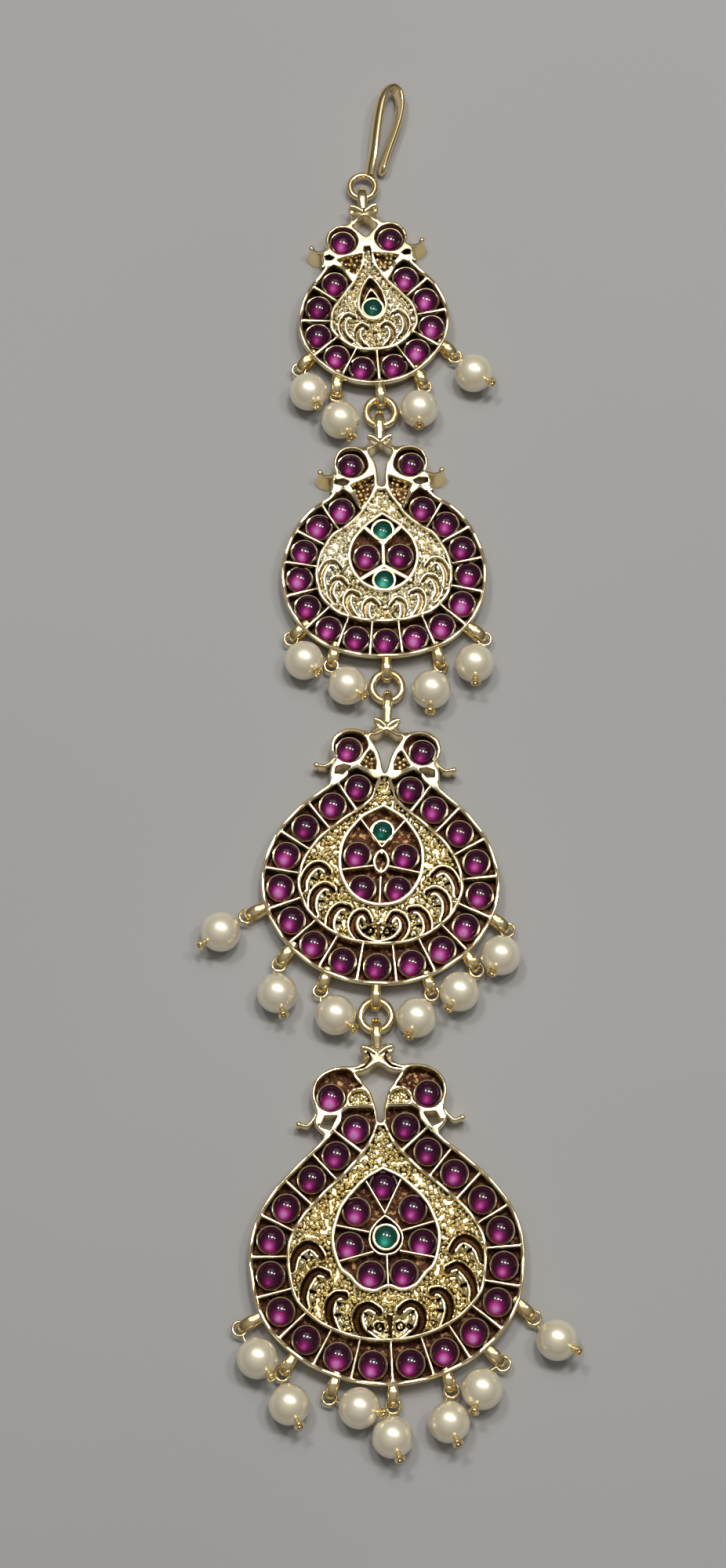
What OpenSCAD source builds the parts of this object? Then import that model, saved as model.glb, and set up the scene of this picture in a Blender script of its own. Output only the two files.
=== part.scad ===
// Head chain jewel: a hair hook and four linked cast plates set with
// cabochons, each plate hung with pearls. It lies flat, backs down.
// Millimetres. +Y runs towards the hook, +Z is the stone side.

/* [Cast plates] */
// Thickness from the flat back to the top of the outer rim
plate_t = 3; // [2.8:0.1:3.4]
// Height of the sunken cell floors above the back
floor_t = 1.1; // [0.9:0.1:1.3]
// Height of the raised field inside the band of stones
field_t = 2.2; // [1.8:0.1:2.5]
// Height of the walls between the cells
bar_t = 2.85; // [2.6:0.05:2.9]
// Width of the outer rim wall
rim_w = 0.55; // [0.45:0.05:0.6]
// Width of the wall between two cells
bar_w = 0.36; // [0.3:0.02:0.38]
// Width of the wall between the band and the field
inner_w = 0.42; // [0.34:0.02:0.5]
// Width of the wall round the centre medallion
med_w = 0.45; // [0.36:0.03:0.54]

/* [Stones] */
// Diameter of the ruby cabochons
ruby_d = 3.15; // [2.9:0.05:3.2]
// Diameter of the largest plate's emerald cabochon
emerald_d = 2.6; // [2.3:0.1:2.7]
// Diameter of the other emerald cabochons
small_em_d = 2.15; // [2:0.05:2.3]
// Height of a cabochon's top above the back
stone_top = 3.25; // [3:0.05:3.4]
// Wall of the thin collar round a stone
collar_w = 0.2; // [0.16:0.02:0.24]
// Gap between a stone and its collar
stone_gap = 0.06; // [0.04:0.01:0.08]

/* [Pearl drops] */
// Diameter of the pearls
pearl_d = 5; // [4.8:0.1:5.1]
// Diameter of the hole through a pearl
pearl_bore = 0.6; // [0.55:0.05:0.8]
// Diameter of the head pin's wire
pin_d = 0.38; // [0.34:0.02:0.4]
// Mean radius of the eye turned on a head pin
eye_r = 0.85; // [0.83:0.01:0.87]
// Diameter of the flared cup that ends a head pin
cup_d = 1.4; // [1.1:0.1:1.6]

/* [Eyelets and links] */
// Width of a pearl eyelet's strap
lug_w = 1.05; // [0.9:0.05:1.1]
// Thickness of an eyelet's strap
lug_t = 0.5; // [0.4:0.02:0.52]
// Height of a pearl eyelet
lug_h = 2.5; // [2.3:0.1:2.6]
// Width of a link eyelet's strap
tie_w = 1.2; // [1:0.05:1.3]
// Mean radius of a jump ring
ring_r = 1.9; // [1.86:0.01:1.94]
// Wire diameter of a jump ring
ring_d = 1; // [0.9:0.05:1.05]
// Height of the lying jump rings' wire centre
ring_z = 1.3; // [1.2:0.05:1.4]

/* [Hook] */
// Mean radius of the ring at the hook's foot
hook_ring_r = 1.7; // [1.66:0.01:1.74]
// Wire diameter of that ring
hook_ring_d = 0.86; // [0.8:0.02:0.9]
// Thickness of the hook's bent strip
hook_t = 0.9; // [0.8:0.05:1]
// Width of the hook's bent strip
hook_w = 1.95; // [1.7:0.05:2]
// Tilt of the hook about its length, in degrees
hook_tilt = 32; // [29:1:35]

/* [Hidden] */
$fn = 48;
// Shift that puts the lying chain's box centre on the origin
shift = [-2.7263, -6.6345, 0];
e = 0.01;

// Plates from the hook down. Columns: x, y, turn about Z
PLATE = [[1.43, 63.16, 4.85], [2.7, 27.26, 1.45], [2.18, -13.57, -2.3], [2.89, -60.71, 2.5]];

// Stone centres along the band, right half, bottom to top. Columns: x, y.
// The last two rows of each plate only guide the curve.
BAND = [
    [[2.1, -6.65], [5.3, -4.75], [7.5, -1.5], [7.1, 2.45], [4.7, 5.75], [2.6, 8.3], [1.9, 11]],
    [[0, -8.85], [3.75, -8.45], [7.25, -7], [9.9, -4], [10.85, -0.1], [10.2, 3.55], [8.2, 7],
     [5.25, 9.2], [3.1, 12.2], [2.5, 15]],
    [[0, -10.8], [4.3, -10.2], [8, -8.25], [10.85, -5.25], [12.45, -1.1], [11.9, 3.1], [9.7, 6.8],
     [6.4, 9.8], [3.3, 12.3], [2.3, 15.2], [2, 18]],
    [[2.27, -12.45], [6.4, -11.3], [10.1, -9.1], [13.05, -5.6], [14.1, -1.25], [13.9, 3.05],
     [11.9, 6.85], [8.7, 10.2], [5.6, 13], [3.05, 16.2], [2.75, 19.3], [3, 22.4]]];
// Columns: outer offset of the rim, inner offset of the band at the sides, extra inner
// offset at the bottom, rim's end past the last stone, last cell's end past its stone
EDGE = [[2.35, 2, 0.6, 0.3, 0.58], [2.4, 2.2, 0.4, 0.3, 0.52], [2.45, 2.3, 0.55, -0.75, 0.58],
        [2.5, 2.3, 0.65, -0.9, 0.68]];

// Outline of the crest from the band's end up to the top scroll, right half. Columns: x, y
CREST = [
    [[6.35, 7.9], [6.1, 8.8], [6.15, 9.6], [5.85, 10.3], [5.3, 10.8], [5.5, 11.6], [5.3, 12.6],
     [4.6, 13.5], [3.5, 14], [2.4, 14.1], [1.9, 14.6], [1.7, 15.2], [1.95, 15.8], [1.95, 16.6],
     [1.3, 17], [0.5, 16.9]],
    [[6.75, 11.4], [6.45, 12.2], [6.45, 13], [6.3, 13.7], [5.9, 14.3], [6.2, 15.3], [6, 16.4],
     [5.4, 17.4], [4.45, 18], [3.2, 18.1], [2.1, 17.95], [1.6, 18.25], [1.35, 18.65], [1.65, 19.05],
     [1.6, 19.5], [1, 19.75], [0.5, 19.6]],
    [[6.85, 13.1], [6.95, 13.9], [6.8, 14.9], [6.35, 15.7], [6.85, 16.5], [7.05, 17.4], [6.8, 18.6],
     [6.1, 19.45], [5.1, 20], [3.75, 20.05], [2.4, 19.75], [1.7, 19.95], [1.35, 20.4], [1.7, 20.9],
     [1.7, 21.4], [1.05, 21.7], [0.5, 21.55]],
    [[7.05, 15.5], [7.85, 16.3], [8.15, 17.2], [7.85, 18.2], [8.1, 19.2], [8.35, 20.4], [8.05, 21.9],
     [7.2, 22.95], [5.9, 23.65], [4.4, 23.9], [2.9, 23.85], [2.05, 24.25], [1.75, 25], [2.1, 25.6],
     [2.05, 26.3], [1.3, 26.6], [0.6, 26.45]]];
// Open gap between the two necks, right half, top to bottom. Columns: x, y
GAP = [
    [[0, 15.2], [1, 14.25], [1.55, 13.65], [0.9, 12.9], [0, 12.1]],
    [[0, 18.3], [0.8, 17.7], [1.5, 17.2], [1.2, 16.3], [0.7, 15.4], [0.45, 14], [0.4, 12.6], [0, 12.3]],
    [[0, 19.9], [0.5, 19.6], [1.2, 19.15], [2, 18.95], [1.7, 18.3], [1.2, 17.5], [0.8, 16.7], [0.5, 15.7],
     [0.3, 14.8], [0, 14.2]],
    [[0, 24.05], [0.5, 23.85], [1.2, 23.35], [2, 23.05], [2.7, 22.9], [2.45, 22.3], [1.85, 21.6],
     [1.15, 20.7], [0.75, 19.5], [0.45, 18.3], [0.3, 17], [0, 16.8]]];
// Sunken pocket round the head stone. Columns: x, y
HEAD = [
    [[1.15, 11.5], [1.5, 12.7], [2.4, 13.4], [3.6, 13.5], [4.6, 12.8], [5, 11.6], [4.7, 10.5],
     [3.8, 9.75], [2.7, 9.75], [1.7, 10.3]],
    [[1.7, 15.1], [2, 16.4], [2.8, 17.3], [4.1, 17.5], [5.15, 17], [5.7, 15.9], [5.65, 14.7],
     [4.9, 13.8], [3.9, 13.5], [2.9, 13.7], [2.1, 14.3]],
    [[2.3, 17.6], [2.6, 18.6], [3.4, 19.3], [4.8, 19.4], [6, 18.7], [6.5, 17.6], [6.3, 16.4],
     [5.5, 15.6], [4.5, 15.4], [3.5, 15.8], [2.9, 16.6]],
    [[2.4, 21.3], [2.8, 22.1], [3.25, 22.65], [4.4, 23.15], [5.8, 23], [6.9, 22.4], [7.55, 21.5],
     [7.8, 20.4], [7.5, 19.2], [6.8, 18.5], [5.9, 18.3], [4.9, 18.6], [4.2, 19.3], [3.9, 20.3],
     [3.2, 21]]];
// Gold-filled neck pocket. Columns: x, y
NECK = [
    [[0.95, 8.9], [2.3, 9.15], [3.7, 8.75], [3, 7.9], [2.2, 7], [1.5, 6.9]],
    [[1.4, 13.1], [2.6, 12.95], [3.8, 12.4], [3.1, 11.3], [2.5, 10.2], [2, 10], [1.4, 11.6]],
    [[1.15, 15.2], [1.6, 16.7], [2.2, 16.8], [2.8, 15.7], [2.6, 15], [1.5, 14.6]],
    [[1.25, 19], [3.5, 19], [3.65, 19.8], [3.2, 20.55], [2.5, 20.75], [1.75, 20.5], [1.4, 19.8]]];
// Small open window between head, beak and body. Columns: x, y
WINDOW = [
    [[4.45, 9.3], [5.1, 9.75], [5.65, 9.6], [5.6, 9.05], [4.9, 8.9]],
    [[4.35, 12.9], [5.2, 13.2], [5.95, 13.05], [5.85, 12.55], [5, 12.4]],
    [[4.3, 14.85], [5.2, 15.05], [6.2, 14.75], [6.3, 13.9], [5.3, 13.8]],
    [[5.3, 17.7], [6.75, 17.75], [7.4, 16.5], [6.2, 16]]];
// Centre line of the beak, root to tip. Columns: x, y
BEAK = [
    [[5.3, 10.5], [6.2, 10.2], [6.9, 10.35], [7.35, 11]],
    [[5.8, 14], [6.9, 13.75], [7.55, 13.9], [7.9, 14.4]],
    [[6.4, 16], [7, 15.2], [7.7, 14.85], [8.7, 15]],
    [[7.7, 18.3], [8.35, 17.3], [9, 16.75], [10, 17]]];
// Columns: beak's lowest point, its top
BEAK_Z = [[0, 2.9], [0, 2.9], [0.2, 2.8], [0.5, 2.6]];

// Medallion outline about its centre. Columns: angle, radius
MED_C = [1.65, 2.7, 2.65, 2.7];
MED = [
    [[-90, 1.85], [-45, 1.85], [0, 2], [30, 2.3], [60, 3.05], [75, 3.8], [90, 4.9]],
    [[-90, 5.05], [-60, 4.9], [-30, 4.7], [0, 4.65], [30, 4.65], [60, 4.9], [75, 5.3], [90, 6]],
    [[-90, 5.85], [-60, 5.85], [-30, 5.55], [0, 5.45], [30, 5.75], [60, 6.35], [75, 6.85], [90, 7.5]],
    [[-90, 6.1], [-75, 6.85], [-60, 7], [-45, 6.65], [-30, 6.85], [0, 6.7], [30, 6.7], [45, 6.9],
     [60, 7.2], [75, 7.9], [90, 8.7]]];
// Ends of the walls inside the medallion, right half, in pairs. Columns: x, y
MED_BAR = [
    [],
    [[0, 4.3], [2.3, 6.6], [0, 1.3], [3.5, -0.8]],
    [[0, 4.5], [2.8, 8.1], [0.7, 2.1], [5.3, 1.3], [0, 0.6], [0, -2.9]],
    [[0, 5.6], [2.1, 9.6], [2, 3.4], [6.4, 4.5], [1.6, 1], [5.9, 0], [0, 0.6], [0, -3.2]]];
// Medallion rubies, right half, and emeralds. Columns: x, y
MED_RUBY = [[], [[2.14, 2.7]], [[3, 3.47], [2.25, -0.8]], [[0, 9.05], [3.42, 6.05], [4.42, 1.9], [1.98, -1.72]]];
MED_EM = [[[0, 1.6]], [[0, 6.1], [0, -0.72]], [[0, 6.55]], [[0, 2.7]]];
// Head ruby of each plate, right half. Columns: x, y
HEAD_RUBY = [[3.15, 11.6], [3.95, 15.35], [4.65, 17.2], [5.95, 20.15]];
// Upper end of the field, right half. Columns: x, y
TIP = [[[2.4, 5], [1.5, 6.4], [0.8, 8], [0.4, 10.6]], [[2.7, 8.4], [1.8, 9.8], [1, 11], [0.5, 11.8]],
       [[1.15, 11.6], [0.85, 12.8], [0.4, 13.7]], [[0.75, 15.5], [0.35, 16.3]]];

// Link eyelets on the plates' centre line. Columns: base y at the bottom, length,
// base y at the top, length
TIE = [[-9, 3.2, 16.8, 3], [-11.2, 3, 19.5, 3.9], [-13.2, 3.1, 21.5, 4.1], [0, 0, 26.4, 3.65]];
// Jump rings from the hook down. Columns: x, y
RING = [[2.33, 50.5], [3.07, 12.5], [1.6, -30.4]];

// Pearl drops. Columns: plate, eyelet base x, y, its direction, its length,
// pearl x, y, direction of the pearl's axis, its rise
DROP = [
    [0, -8.5, -3.9, -135, 2.9, -9.4, -9.5, -70, 30],
    [0, -5.4, -7.1, -98, 3.1, -5.6, -13.8, -67, 17],
    [0, 5.1, -7.3, -71, 2.6, 4.8, -13.1, -95, 26],
    [0, 8.7, -3.8, -49, 2.6, 12.4, -8.7, -45, 26],
    [1, -10.3, -6.3, -138, 2.7, -10.5, -11.3, -52, 32],
    [1, -6.5, -9.3, -103, 2.7, -5.1, -14.8, -42, 30],
    [1, 6.4, -9.6, -78, 2.8, 5.6, -15.6, -95, 16],
    [1, 10.6, -6.9, -39, 2.9, 11.2, -12.2, -90, 26],
    [2, -14.2, -3.6, -153, 2.9, -19.6, -7.2, -140, 18],
    [2, -10.7, -8.5, -123, 3, -12.2, -14.7, -72, 20],
    [2, -6.1585, -11.5913, -107, 2.7, -4.9, -17.2, -38, 24],
    [2, 6.2, -11.6, -72, 2.5, 5.1, -17.1, -108, 32],
    [2, 11.1, -8.7, -55, 2.45, 10.3, -13.6, -118, 31],
    [2, 14.2, -3.8, -38, 2.6, 15.25, -8.8, -112, 32],
    [3, -15.6, -6.1, -153, 3, -16, -11.1, -56, 26],
    [3, -11.8, -11.1, -126, 2.5, -12.4, -16.7, -67, 28],
    [3, -6.7, -13.6, -111, 2.8, -4.1, -17.5, -18, 30],
    [3, 0, -14.8, -91, 2.8, -0.3, -21.1, -75, 32],
    [3, 6.5, -13.7, -76, 2.4, 6.5, -19.6, -72, 32],
    [3, 11.5, -11, -46, 2.9, 10.6, -15.9, -113, 26],
    [3, 15.4, -5.6, -46, 3, 19.9, -10.5, -34, 32]];
lug_z = 0.05 + lug_h / 2;
pearl_z = pearl_d / 2;

// Centre line of the hook's strip. Columns: x, y, z
HOOK = [[0.75, 84.9, 1.6], [1, 86.2, 2.05], [1.35, 88.2, 2.5], [1.65, 91, 2.8], [2, 93.5, 2.95],
        [2.4, 95.5, 2.95], [3.05, 97, 2.7], [4, 97.8, 2.1], [4.85, 97.2, 1.5], [5.15, 95.5, 1.2],
        [4.85, 93.4, 1.12], [4.2, 91.1, 1.08], [3.35, 88.5, 1.07], [2.8, 86.6, 1.07], [2.5, 85.1, 1.07]];
// Section of the strip, flat inside and round outside. Columns: share of half the
// thickness, share of half the width
STRIP = [[1, 0.8], [0.75, 0.97], [0.3, 1], [-0.25, 0.88], [-0.7, 0.6], [-0.94, 0.3], [-1, 0],
         [-0.94, -0.3], [-0.7, -0.6], [-0.25, -0.88], [0.3, -1], [0.75, -0.97], [1, -0.8]];
HOOK_RING = [-0.05, 83.2];

// ---- curves -------------------------------------------------------------
// Point on a smooth curve through list p, at t from 1 to len(p) - 2
function cr(p, t) = let (i = min(max(floor(t), 1), len(p) - 3), u = t - i,
    a = p[i - 1], b = p[i], c = p[i + 1], d = p[i + 2])
    0.5 * (2 * b + (c - a) * u + (2 * a - 5 * b + 4 * c - d) * u * u + (3 * b - a - 3 * c + d) * u * u * u);
function unit(v) = v / norm(v);
function out(p, t) = let (d = unit(cr(p, t + 0.02) - cr(p, t - 0.02))) [d[1], -d[0]];
function off(p, t, r) = cr(p, t) + r * out(p, t);
// Smooth run through all of list p, n steps between neighbours
function ext(p) = concat([2 * p[0] - p[1]], p, [2 * p[len(p) - 1] - p[len(p) - 2]]);
function smooth(p, n) = let (q = ext(p)) concat(
    [for (i = [1:len(q) - 3], s = [0:n - 1]) cr(q, i + s / n)], [p[len(p) - 1]]);
function closed(p, n) = let (m = len(p)) [for (i = [0:m - 1], s = [0:n - 1])
    cr([p[(i + m - 1) % m], p[i], p[(i + 1) % m], p[(i + 2) % m]], 1 + s / n)];
function rev(p) = [for (i = [len(p) - 1:-1:0]) p[i]];
function flip(p) = [for (q = p) [-q[0], q[1]]];
function sym(p) = concat(p, rev(flip(p)));
// Whole band curve of plate k, left end to right end
function band(k) = let (h = BAND[k], s = h[0][0] == 0 ? 1 : 0)
    concat([for (i = [len(h) - 1:-1:s]) [-h[i][0], h[i][1]]], h);
function last(k) = len(band(k)) - 3;
// Inner offset of the band, wider at the bottom
function inner(k, t) = EDGE[k][1] + EDGE[k][2] * pow(max(0, -out(band(k), t)[1]), 3);

// ---- plan shapes of one plate ---------------------------------------------
function outline(k) = let (b = band(k), t1 = last(k) + EDGE[k][3], t0 = 2 - EDGE[k][3],
    n = round((t1 - t0) * 4), rim = [for (i = [0:n]) off(b, t0 + (t1 - t0) * i / n, EDGE[k][0])],
    c = smooth(CREST[k], 2)) concat(rim, c, rev(flip(c)));
function cell(k, i) = let (b = band(k), t0 = i == 2 ? 2 - EDGE[k][4] : i - 0.5,
    t1 = i == last(k) ? i + EDGE[k][4] : i + 0.5,
    g = bar_w / 2 / norm(cr(b, i + 0.5) - cr(b, i - 0.5)), ta = t0 + g, tb = t1 - g)
    concat([for (s = [0:5]) off(b, ta + (tb - ta) * s / 5, EDGE[k][0] - rim_w)],
           [for (s = [4:-1:0]) let (t = ta + (tb - ta) * s / 4) off(b, t, -inner(k, t) + inner_w / 2)]);
function field(k) = let (b = band(k), n = (last(k) - 2) * 3)
    concat([for (i = [0:n]) let (t = 2 + (last(k) - 2) * i / n) off(b, t, -inner(k, t) - inner_w / 2)],
           TIP[k], rev(flip(TIP[k])));
function med(k, w) = let (h = [for (q = MED[k]) [(q[1] - w) * cos(q[0]), MED_C[k] + (q[1] - w) * sin(q[0])]],
    p = concat(rev(flip(h)), [for (i = [1:len(h) - 1]) h[i]]), s = smooth(p, 3))
    [for (i = [0:len(s) - 2]) s[i]];

// ---- small solids -----------------------------------------------------------
module prism(p, z0, z1) { translate([0, 0, z0]) linear_extrude(z1 - z0) polygon(p); }
module both() { children(); mirror([1, 0, 0]) children(); }
module bar(a, b, w, z0, z1) {
    translate([a[0], a[1], z0]) rotate([0, 0, atan2(b[1] - a[1], b[0] - a[0])])
        translate([0, -w / 2, 0]) cube([norm(b - a), w, z1 - z0]);
}
module collar(c, d) {
    r = d / 2 + stone_gap;
    translate([c[0], c[1], floor_t - 0.4]) difference() {
        cylinder(r = r + collar_w, h = 1.25);
        translate([0, 0, 0.4]) cylinder(r = r, h = 2);
    }
}
// Cabochon: a ball of the stone's diameter whose underside is cut flat
module stone(c, d) {
    translate([c[0], c[1], 0]) intersection() {
        translate([0, 0, stone_top - d / 2]) sphere(d = d);
        translate([0, 0, floor_t + 0.05]) cylinder(d = d + 1, h = 4);
    }
}
// Room cut round a stone where a wall leans over it
module room(c, d) {
    r = d / 2 + stone_gap;
    translate([c[0], c[1], 0]) {
        translate([0, 0, floor_t - 0.05]) cylinder(r = r, h = 2 - floor_t + 0.05);
        translate([0, 0, 2]) cylinder(r1 = r, r2 = r - 0.49, h = 1.01);
    }
}
// U-shaped eyelet that stands on edge and runs out along +X
module lug(len, h, w, t) {
    r = h / 2;
    translate([0, w / 2, 0]) rotate([90, 0, 0]) linear_extrude(w) difference() {
        union() {
            translate([len - r, 0]) circle(r = r);
            translate([-0.35, -r]) square([len - r + 0.35, h]);
        }
        translate([len - r, 0]) circle(r = r - t);
        translate([-0.2, t - r]) square([len - r + 0.2, h - 2 * t]);
    }
}
module torus(r, d) { rotate_extrude($fn = 64) translate([r, 0]) circle(d = d, $fn = 24); }
module rod(a, b, d) {
    v = b - a;
    translate(a) rotate([0, acos(v[2] / norm(v)), atan2(v[1], v[0])]) cylinder(d = d, h = norm(v), $fn = 24);
}

// ---- the four cast plates ---------------------------------------------------
module walls(k) {
    difference() {
        prism(outline(k), 0, plate_t);
        for (i = [2:last(k)]) prism(cell(k, i), floor_t, plate_t + 1);
        difference() {
            prism(field(k), field_t, plate_t + 1);
            prism(med(k, 0), 0, plate_t + 2);
        }
        prism(med(k, med_w), floor_t, plate_t + 1);
        prism(concat(GAP[k], rev(flip([for (i = [1:len(GAP[k]) - 2]) GAP[k][i]]))), -1, plate_t + 1);
        both() {
            prism(closed(HEAD[k], 2), floor_t, plate_t + 1);
            prism(NECK[k], field_t, plate_t + 1);
            prism(WINDOW[k], -1, plate_t + 1);
        }
    }
}
function half_stones(k) = concat([for (i = [0:len(BAND[k]) - 3]) BAND[k][i]], [HEAD_RUBY[k]], MED_RUBY[k]);
function rubies(k) = concat(half_stones(k), [for (q = half_stones(k)) if (q[0] > 0) [-q[0], q[1]]]);
function em_d(k) = k == 3 ? emerald_d : small_em_d;
module medallion(k) {
    difference() {
        union() {
            walls(k);
            if (len(MED_BAR[k]) > 0) both() for (i = [0:2:len(MED_BAR[k]) - 1])
                bar(MED_BAR[k][i], MED_BAR[k][i + 1], bar_w, floor_t - 0.3, bar_t);
        }
        for (q = MED_RUBY[k]) room(q, ruby_d);
        for (q = MED_RUBY[k]) if (q[0] > 0) room([-q[0], q[1]], ruby_d);
        for (q = MED_EM[k]) room(q, em_d(k));
    }
}
module plate(k) {
    medallion(k);
    for (q = rubies(k)) collar(q, ruby_d);
    for (q = MED_EM[k]) collar(q, em_d(k));
    both() {
        for (i = [0:2]) let (p = BEAK[k]) bar(p[i], p[i + 1], 0.5, BEAK_Z[k][0], BEAK_Z[k][1]);
        for (i = [1:3]) translate([BEAK[k][i][0], BEAK[k][i][1], BEAK_Z[k][0]])
            cylinder(d = i == 3 ? 0.75 : 0.56, h = BEAK_Z[k][1] - BEAK_Z[k][0], $fn = 24);
    }
    if (TIE[k][1] > 0) translate([0, TIE[k][0], 1.5]) rotate([0, 0, -90]) lug(TIE[k][1], 2.9, tie_w, 0.55);
    translate([0, TIE[k][2], 1.5]) rotate([0, 0, 90]) lug(TIE[k][3], 2.9, tie_w, 0.55);
    for (d = DROP) if (d[0] == k)
        translate([d[1], d[2], lug_z]) rotate([0, 0, d[3]]) lug(d[4], lug_h, lug_w, lug_t);
}
module place(k) { translate(shift) translate([PLATE[k][0], PLATE[k][1], 0]) rotate([0, 0, PLATE[k][2]]) children(); }

module plate_1() { color([0.86, 0.74, 0.42]) place(0) plate(0); }
module plate_2() { color([0.86, 0.74, 0.42]) place(1) plate(1); }
module plate_3() { color([0.86, 0.74, 0.42]) place(2) plate(2); }
module plate_4() { color([0.86, 0.74, 0.42]) place(3) plate(3); }
module ruby_set(k) { color([0.5, 0.06, 0.3]) place(k) for (q = rubies(k)) stone(q, ruby_d); }
module emerald_set(k) { color([0.05, 0.4, 0.3]) place(k) for (q = MED_EM[k]) stone(q, em_d(k)); }

// ---- pearl drops ---------------------------------------------------------------
function eye(d) = [d[1] + (d[4] - lug_t / 2) * cos(d[3]), d[2] + (d[4] - lug_t / 2) * sin(d[3]), lug_z];
function ball(d) = [d[5], d[6], pearl_z];
function axis(d) = [cos(d[8]) * cos(d[7]), cos(d[8]) * sin(d[7]), sin(d[8])];
module pearl(i) {
    d = DROP[i];
    color([0.93, 0.9, 0.8]) place(d[0]) difference() {
        translate(ball(d)) sphere(d = pearl_d);
        rod(ball(d) - 4 * axis(d), ball(d) + 4 * axis(d), pearl_bore);
    }
}
module pin(i) {
    d = DROP[i];
    a = axis(d);
    q = ball(d) - (pearl_z + 0.14) * a;
    v = unit(q - eye(d));
    x = unit(v - a);
    z = unit(cross(v, a));
    y = cross(z, x);
    color([0.8, 0.6, 0.36]) place(d[0]) {
        translate(eye(d)) rotate([0, -asin(v[2]), atan2(v[1], v[0])]) rotate([0, 0, 97]) torus(eye_r, pin_d);
        rod(eye(d) + eye_r * v, q, pin_d * 0.88);
        // the bend, its poles square to both wires
        multmatrix([[x[0], y[0], z[0], q[0]], [x[1], y[1], z[1], q[1]], [x[2], y[2], z[2], q[2]], [0, 0, 0, 1]])
            sphere(d = pin_d * 1.2, $fn = 24);
        rod(q, ball(d) + (pearl_z + 0.25) * a, pin_d * 0.94);
        // flared cup, open at its far end
        translate(ball(d) + (pearl_z + 0.04) * a) rotate([0, 90 - d[8], d[7]]) rotate_extrude($fn = 32)
            polygon([[0, 0], [0.34, 0], [0.42, 0.3], [cup_d / 2 - 0.14, 0.62], [cup_d / 2, 0.84], [cup_d / 2 - 0.1, 0.95],
                     [0.34, 0.86], [0.24, 0.6], [0, 0.6]]);
    }
}

// ---- jump rings and hook ----------------------------------------------------------
module ring(i) { color([0.86, 0.74, 0.42]) translate(shift) translate([RING[i][0], RING[i][1], ring_z]) torus(ring_r, ring_d); }
// Skin over rings of m points each, with end caps unless it closes on itself
module skin(pts, m, loop) {
    n = len(pts) / m;
    side = [for (i = [0:loop ? n - 1 : n - 2], j = [0:m - 1]) let (h = (i + 1) % n)
        [i * m + j, i * m + (j + 1) % m, h * m + (j + 1) % m, h * m + j]];
    caps = loop ? [] : [[for (j = [m - 1:-1:0]) j], [for (j = [0:m - 1]) (n - 1) * m + j]];
    polyhedron(pts, concat(side, caps), convexity = 6);
}
module hook() {
    c = smooth(HOOK, 4);
    n = len(c);
    up = [sin(hook_tilt), 0, cos(hook_tilt)];
    strip = [for (i = [0:n - 1]) let (t = unit(c[min(i + 1, n - 1)] - c[max(i - 1, 0)]), b = unit(cross(t, up)),
        u = cross(b, t), s = i == n - 1 ? 0.55 : i == n - 2 ? 0.85 : i == 0 ? 0.32 : 1)
        for (q = STRIP) c[i] + b * hook_t / 2 * s * q[0] + u * hook_w / 2 * s * q[1]];
    ring = [for (i = [0:35]) for (j = [0:11]) let (r = hook_ring_r + hook_ring_d / 2 * cos(30 * j + 11))
        [HOOK_RING[0] + r * cos(10 * i + 3), HOOK_RING[1] + r * sin(10 * i + 3), 1.35 + hook_ring_d / 2 * sin(30 * j + 11)]];
    color([0.86, 0.74, 0.42]) translate(shift) {
        skin(strip, len(STRIP), false);
        skin(ring, 12, true);
    }
}

hook();
ring(0);  // link_ring_1
ring(1);  // link_ring_2
ring(2);  // link_ring_3
plate_1();
plate_2();
plate_3();
plate_4();
ruby_set(0);  // rubies_1
ruby_set(1);  // rubies_2
ruby_set(2);  // rubies_3
ruby_set(3);  // rubies_4
emerald_set(0);  // emeralds_1
emerald_set(1);  // emeralds_2
emerald_set(2);  // emeralds_3
emerald_set(3);  // emeralds_4
for (i = [0:20]) pearl(i);
for (i = [0:20]) pin(i);
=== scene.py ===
import bpy
import math
import random
import numpy as np
from mathutils import Vector, Matrix
from mathutils.geometry import delaunay_2d_cdt
from mathutils.noise import noise as lump
import bmesh


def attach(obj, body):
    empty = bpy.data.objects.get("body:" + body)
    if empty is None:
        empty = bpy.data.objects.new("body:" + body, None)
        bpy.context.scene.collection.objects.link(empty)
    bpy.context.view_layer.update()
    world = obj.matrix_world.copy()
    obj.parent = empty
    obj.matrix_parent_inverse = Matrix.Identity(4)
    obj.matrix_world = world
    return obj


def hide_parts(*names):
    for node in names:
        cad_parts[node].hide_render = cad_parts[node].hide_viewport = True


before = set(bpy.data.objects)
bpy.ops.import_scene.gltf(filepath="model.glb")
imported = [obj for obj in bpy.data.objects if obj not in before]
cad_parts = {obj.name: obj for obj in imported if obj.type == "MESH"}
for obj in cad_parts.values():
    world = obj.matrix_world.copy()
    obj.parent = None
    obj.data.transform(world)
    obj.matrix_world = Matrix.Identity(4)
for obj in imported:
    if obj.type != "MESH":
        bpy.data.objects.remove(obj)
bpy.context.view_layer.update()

MM = 0.001
SHIFT = (-2.7263, -6.6345)

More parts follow.
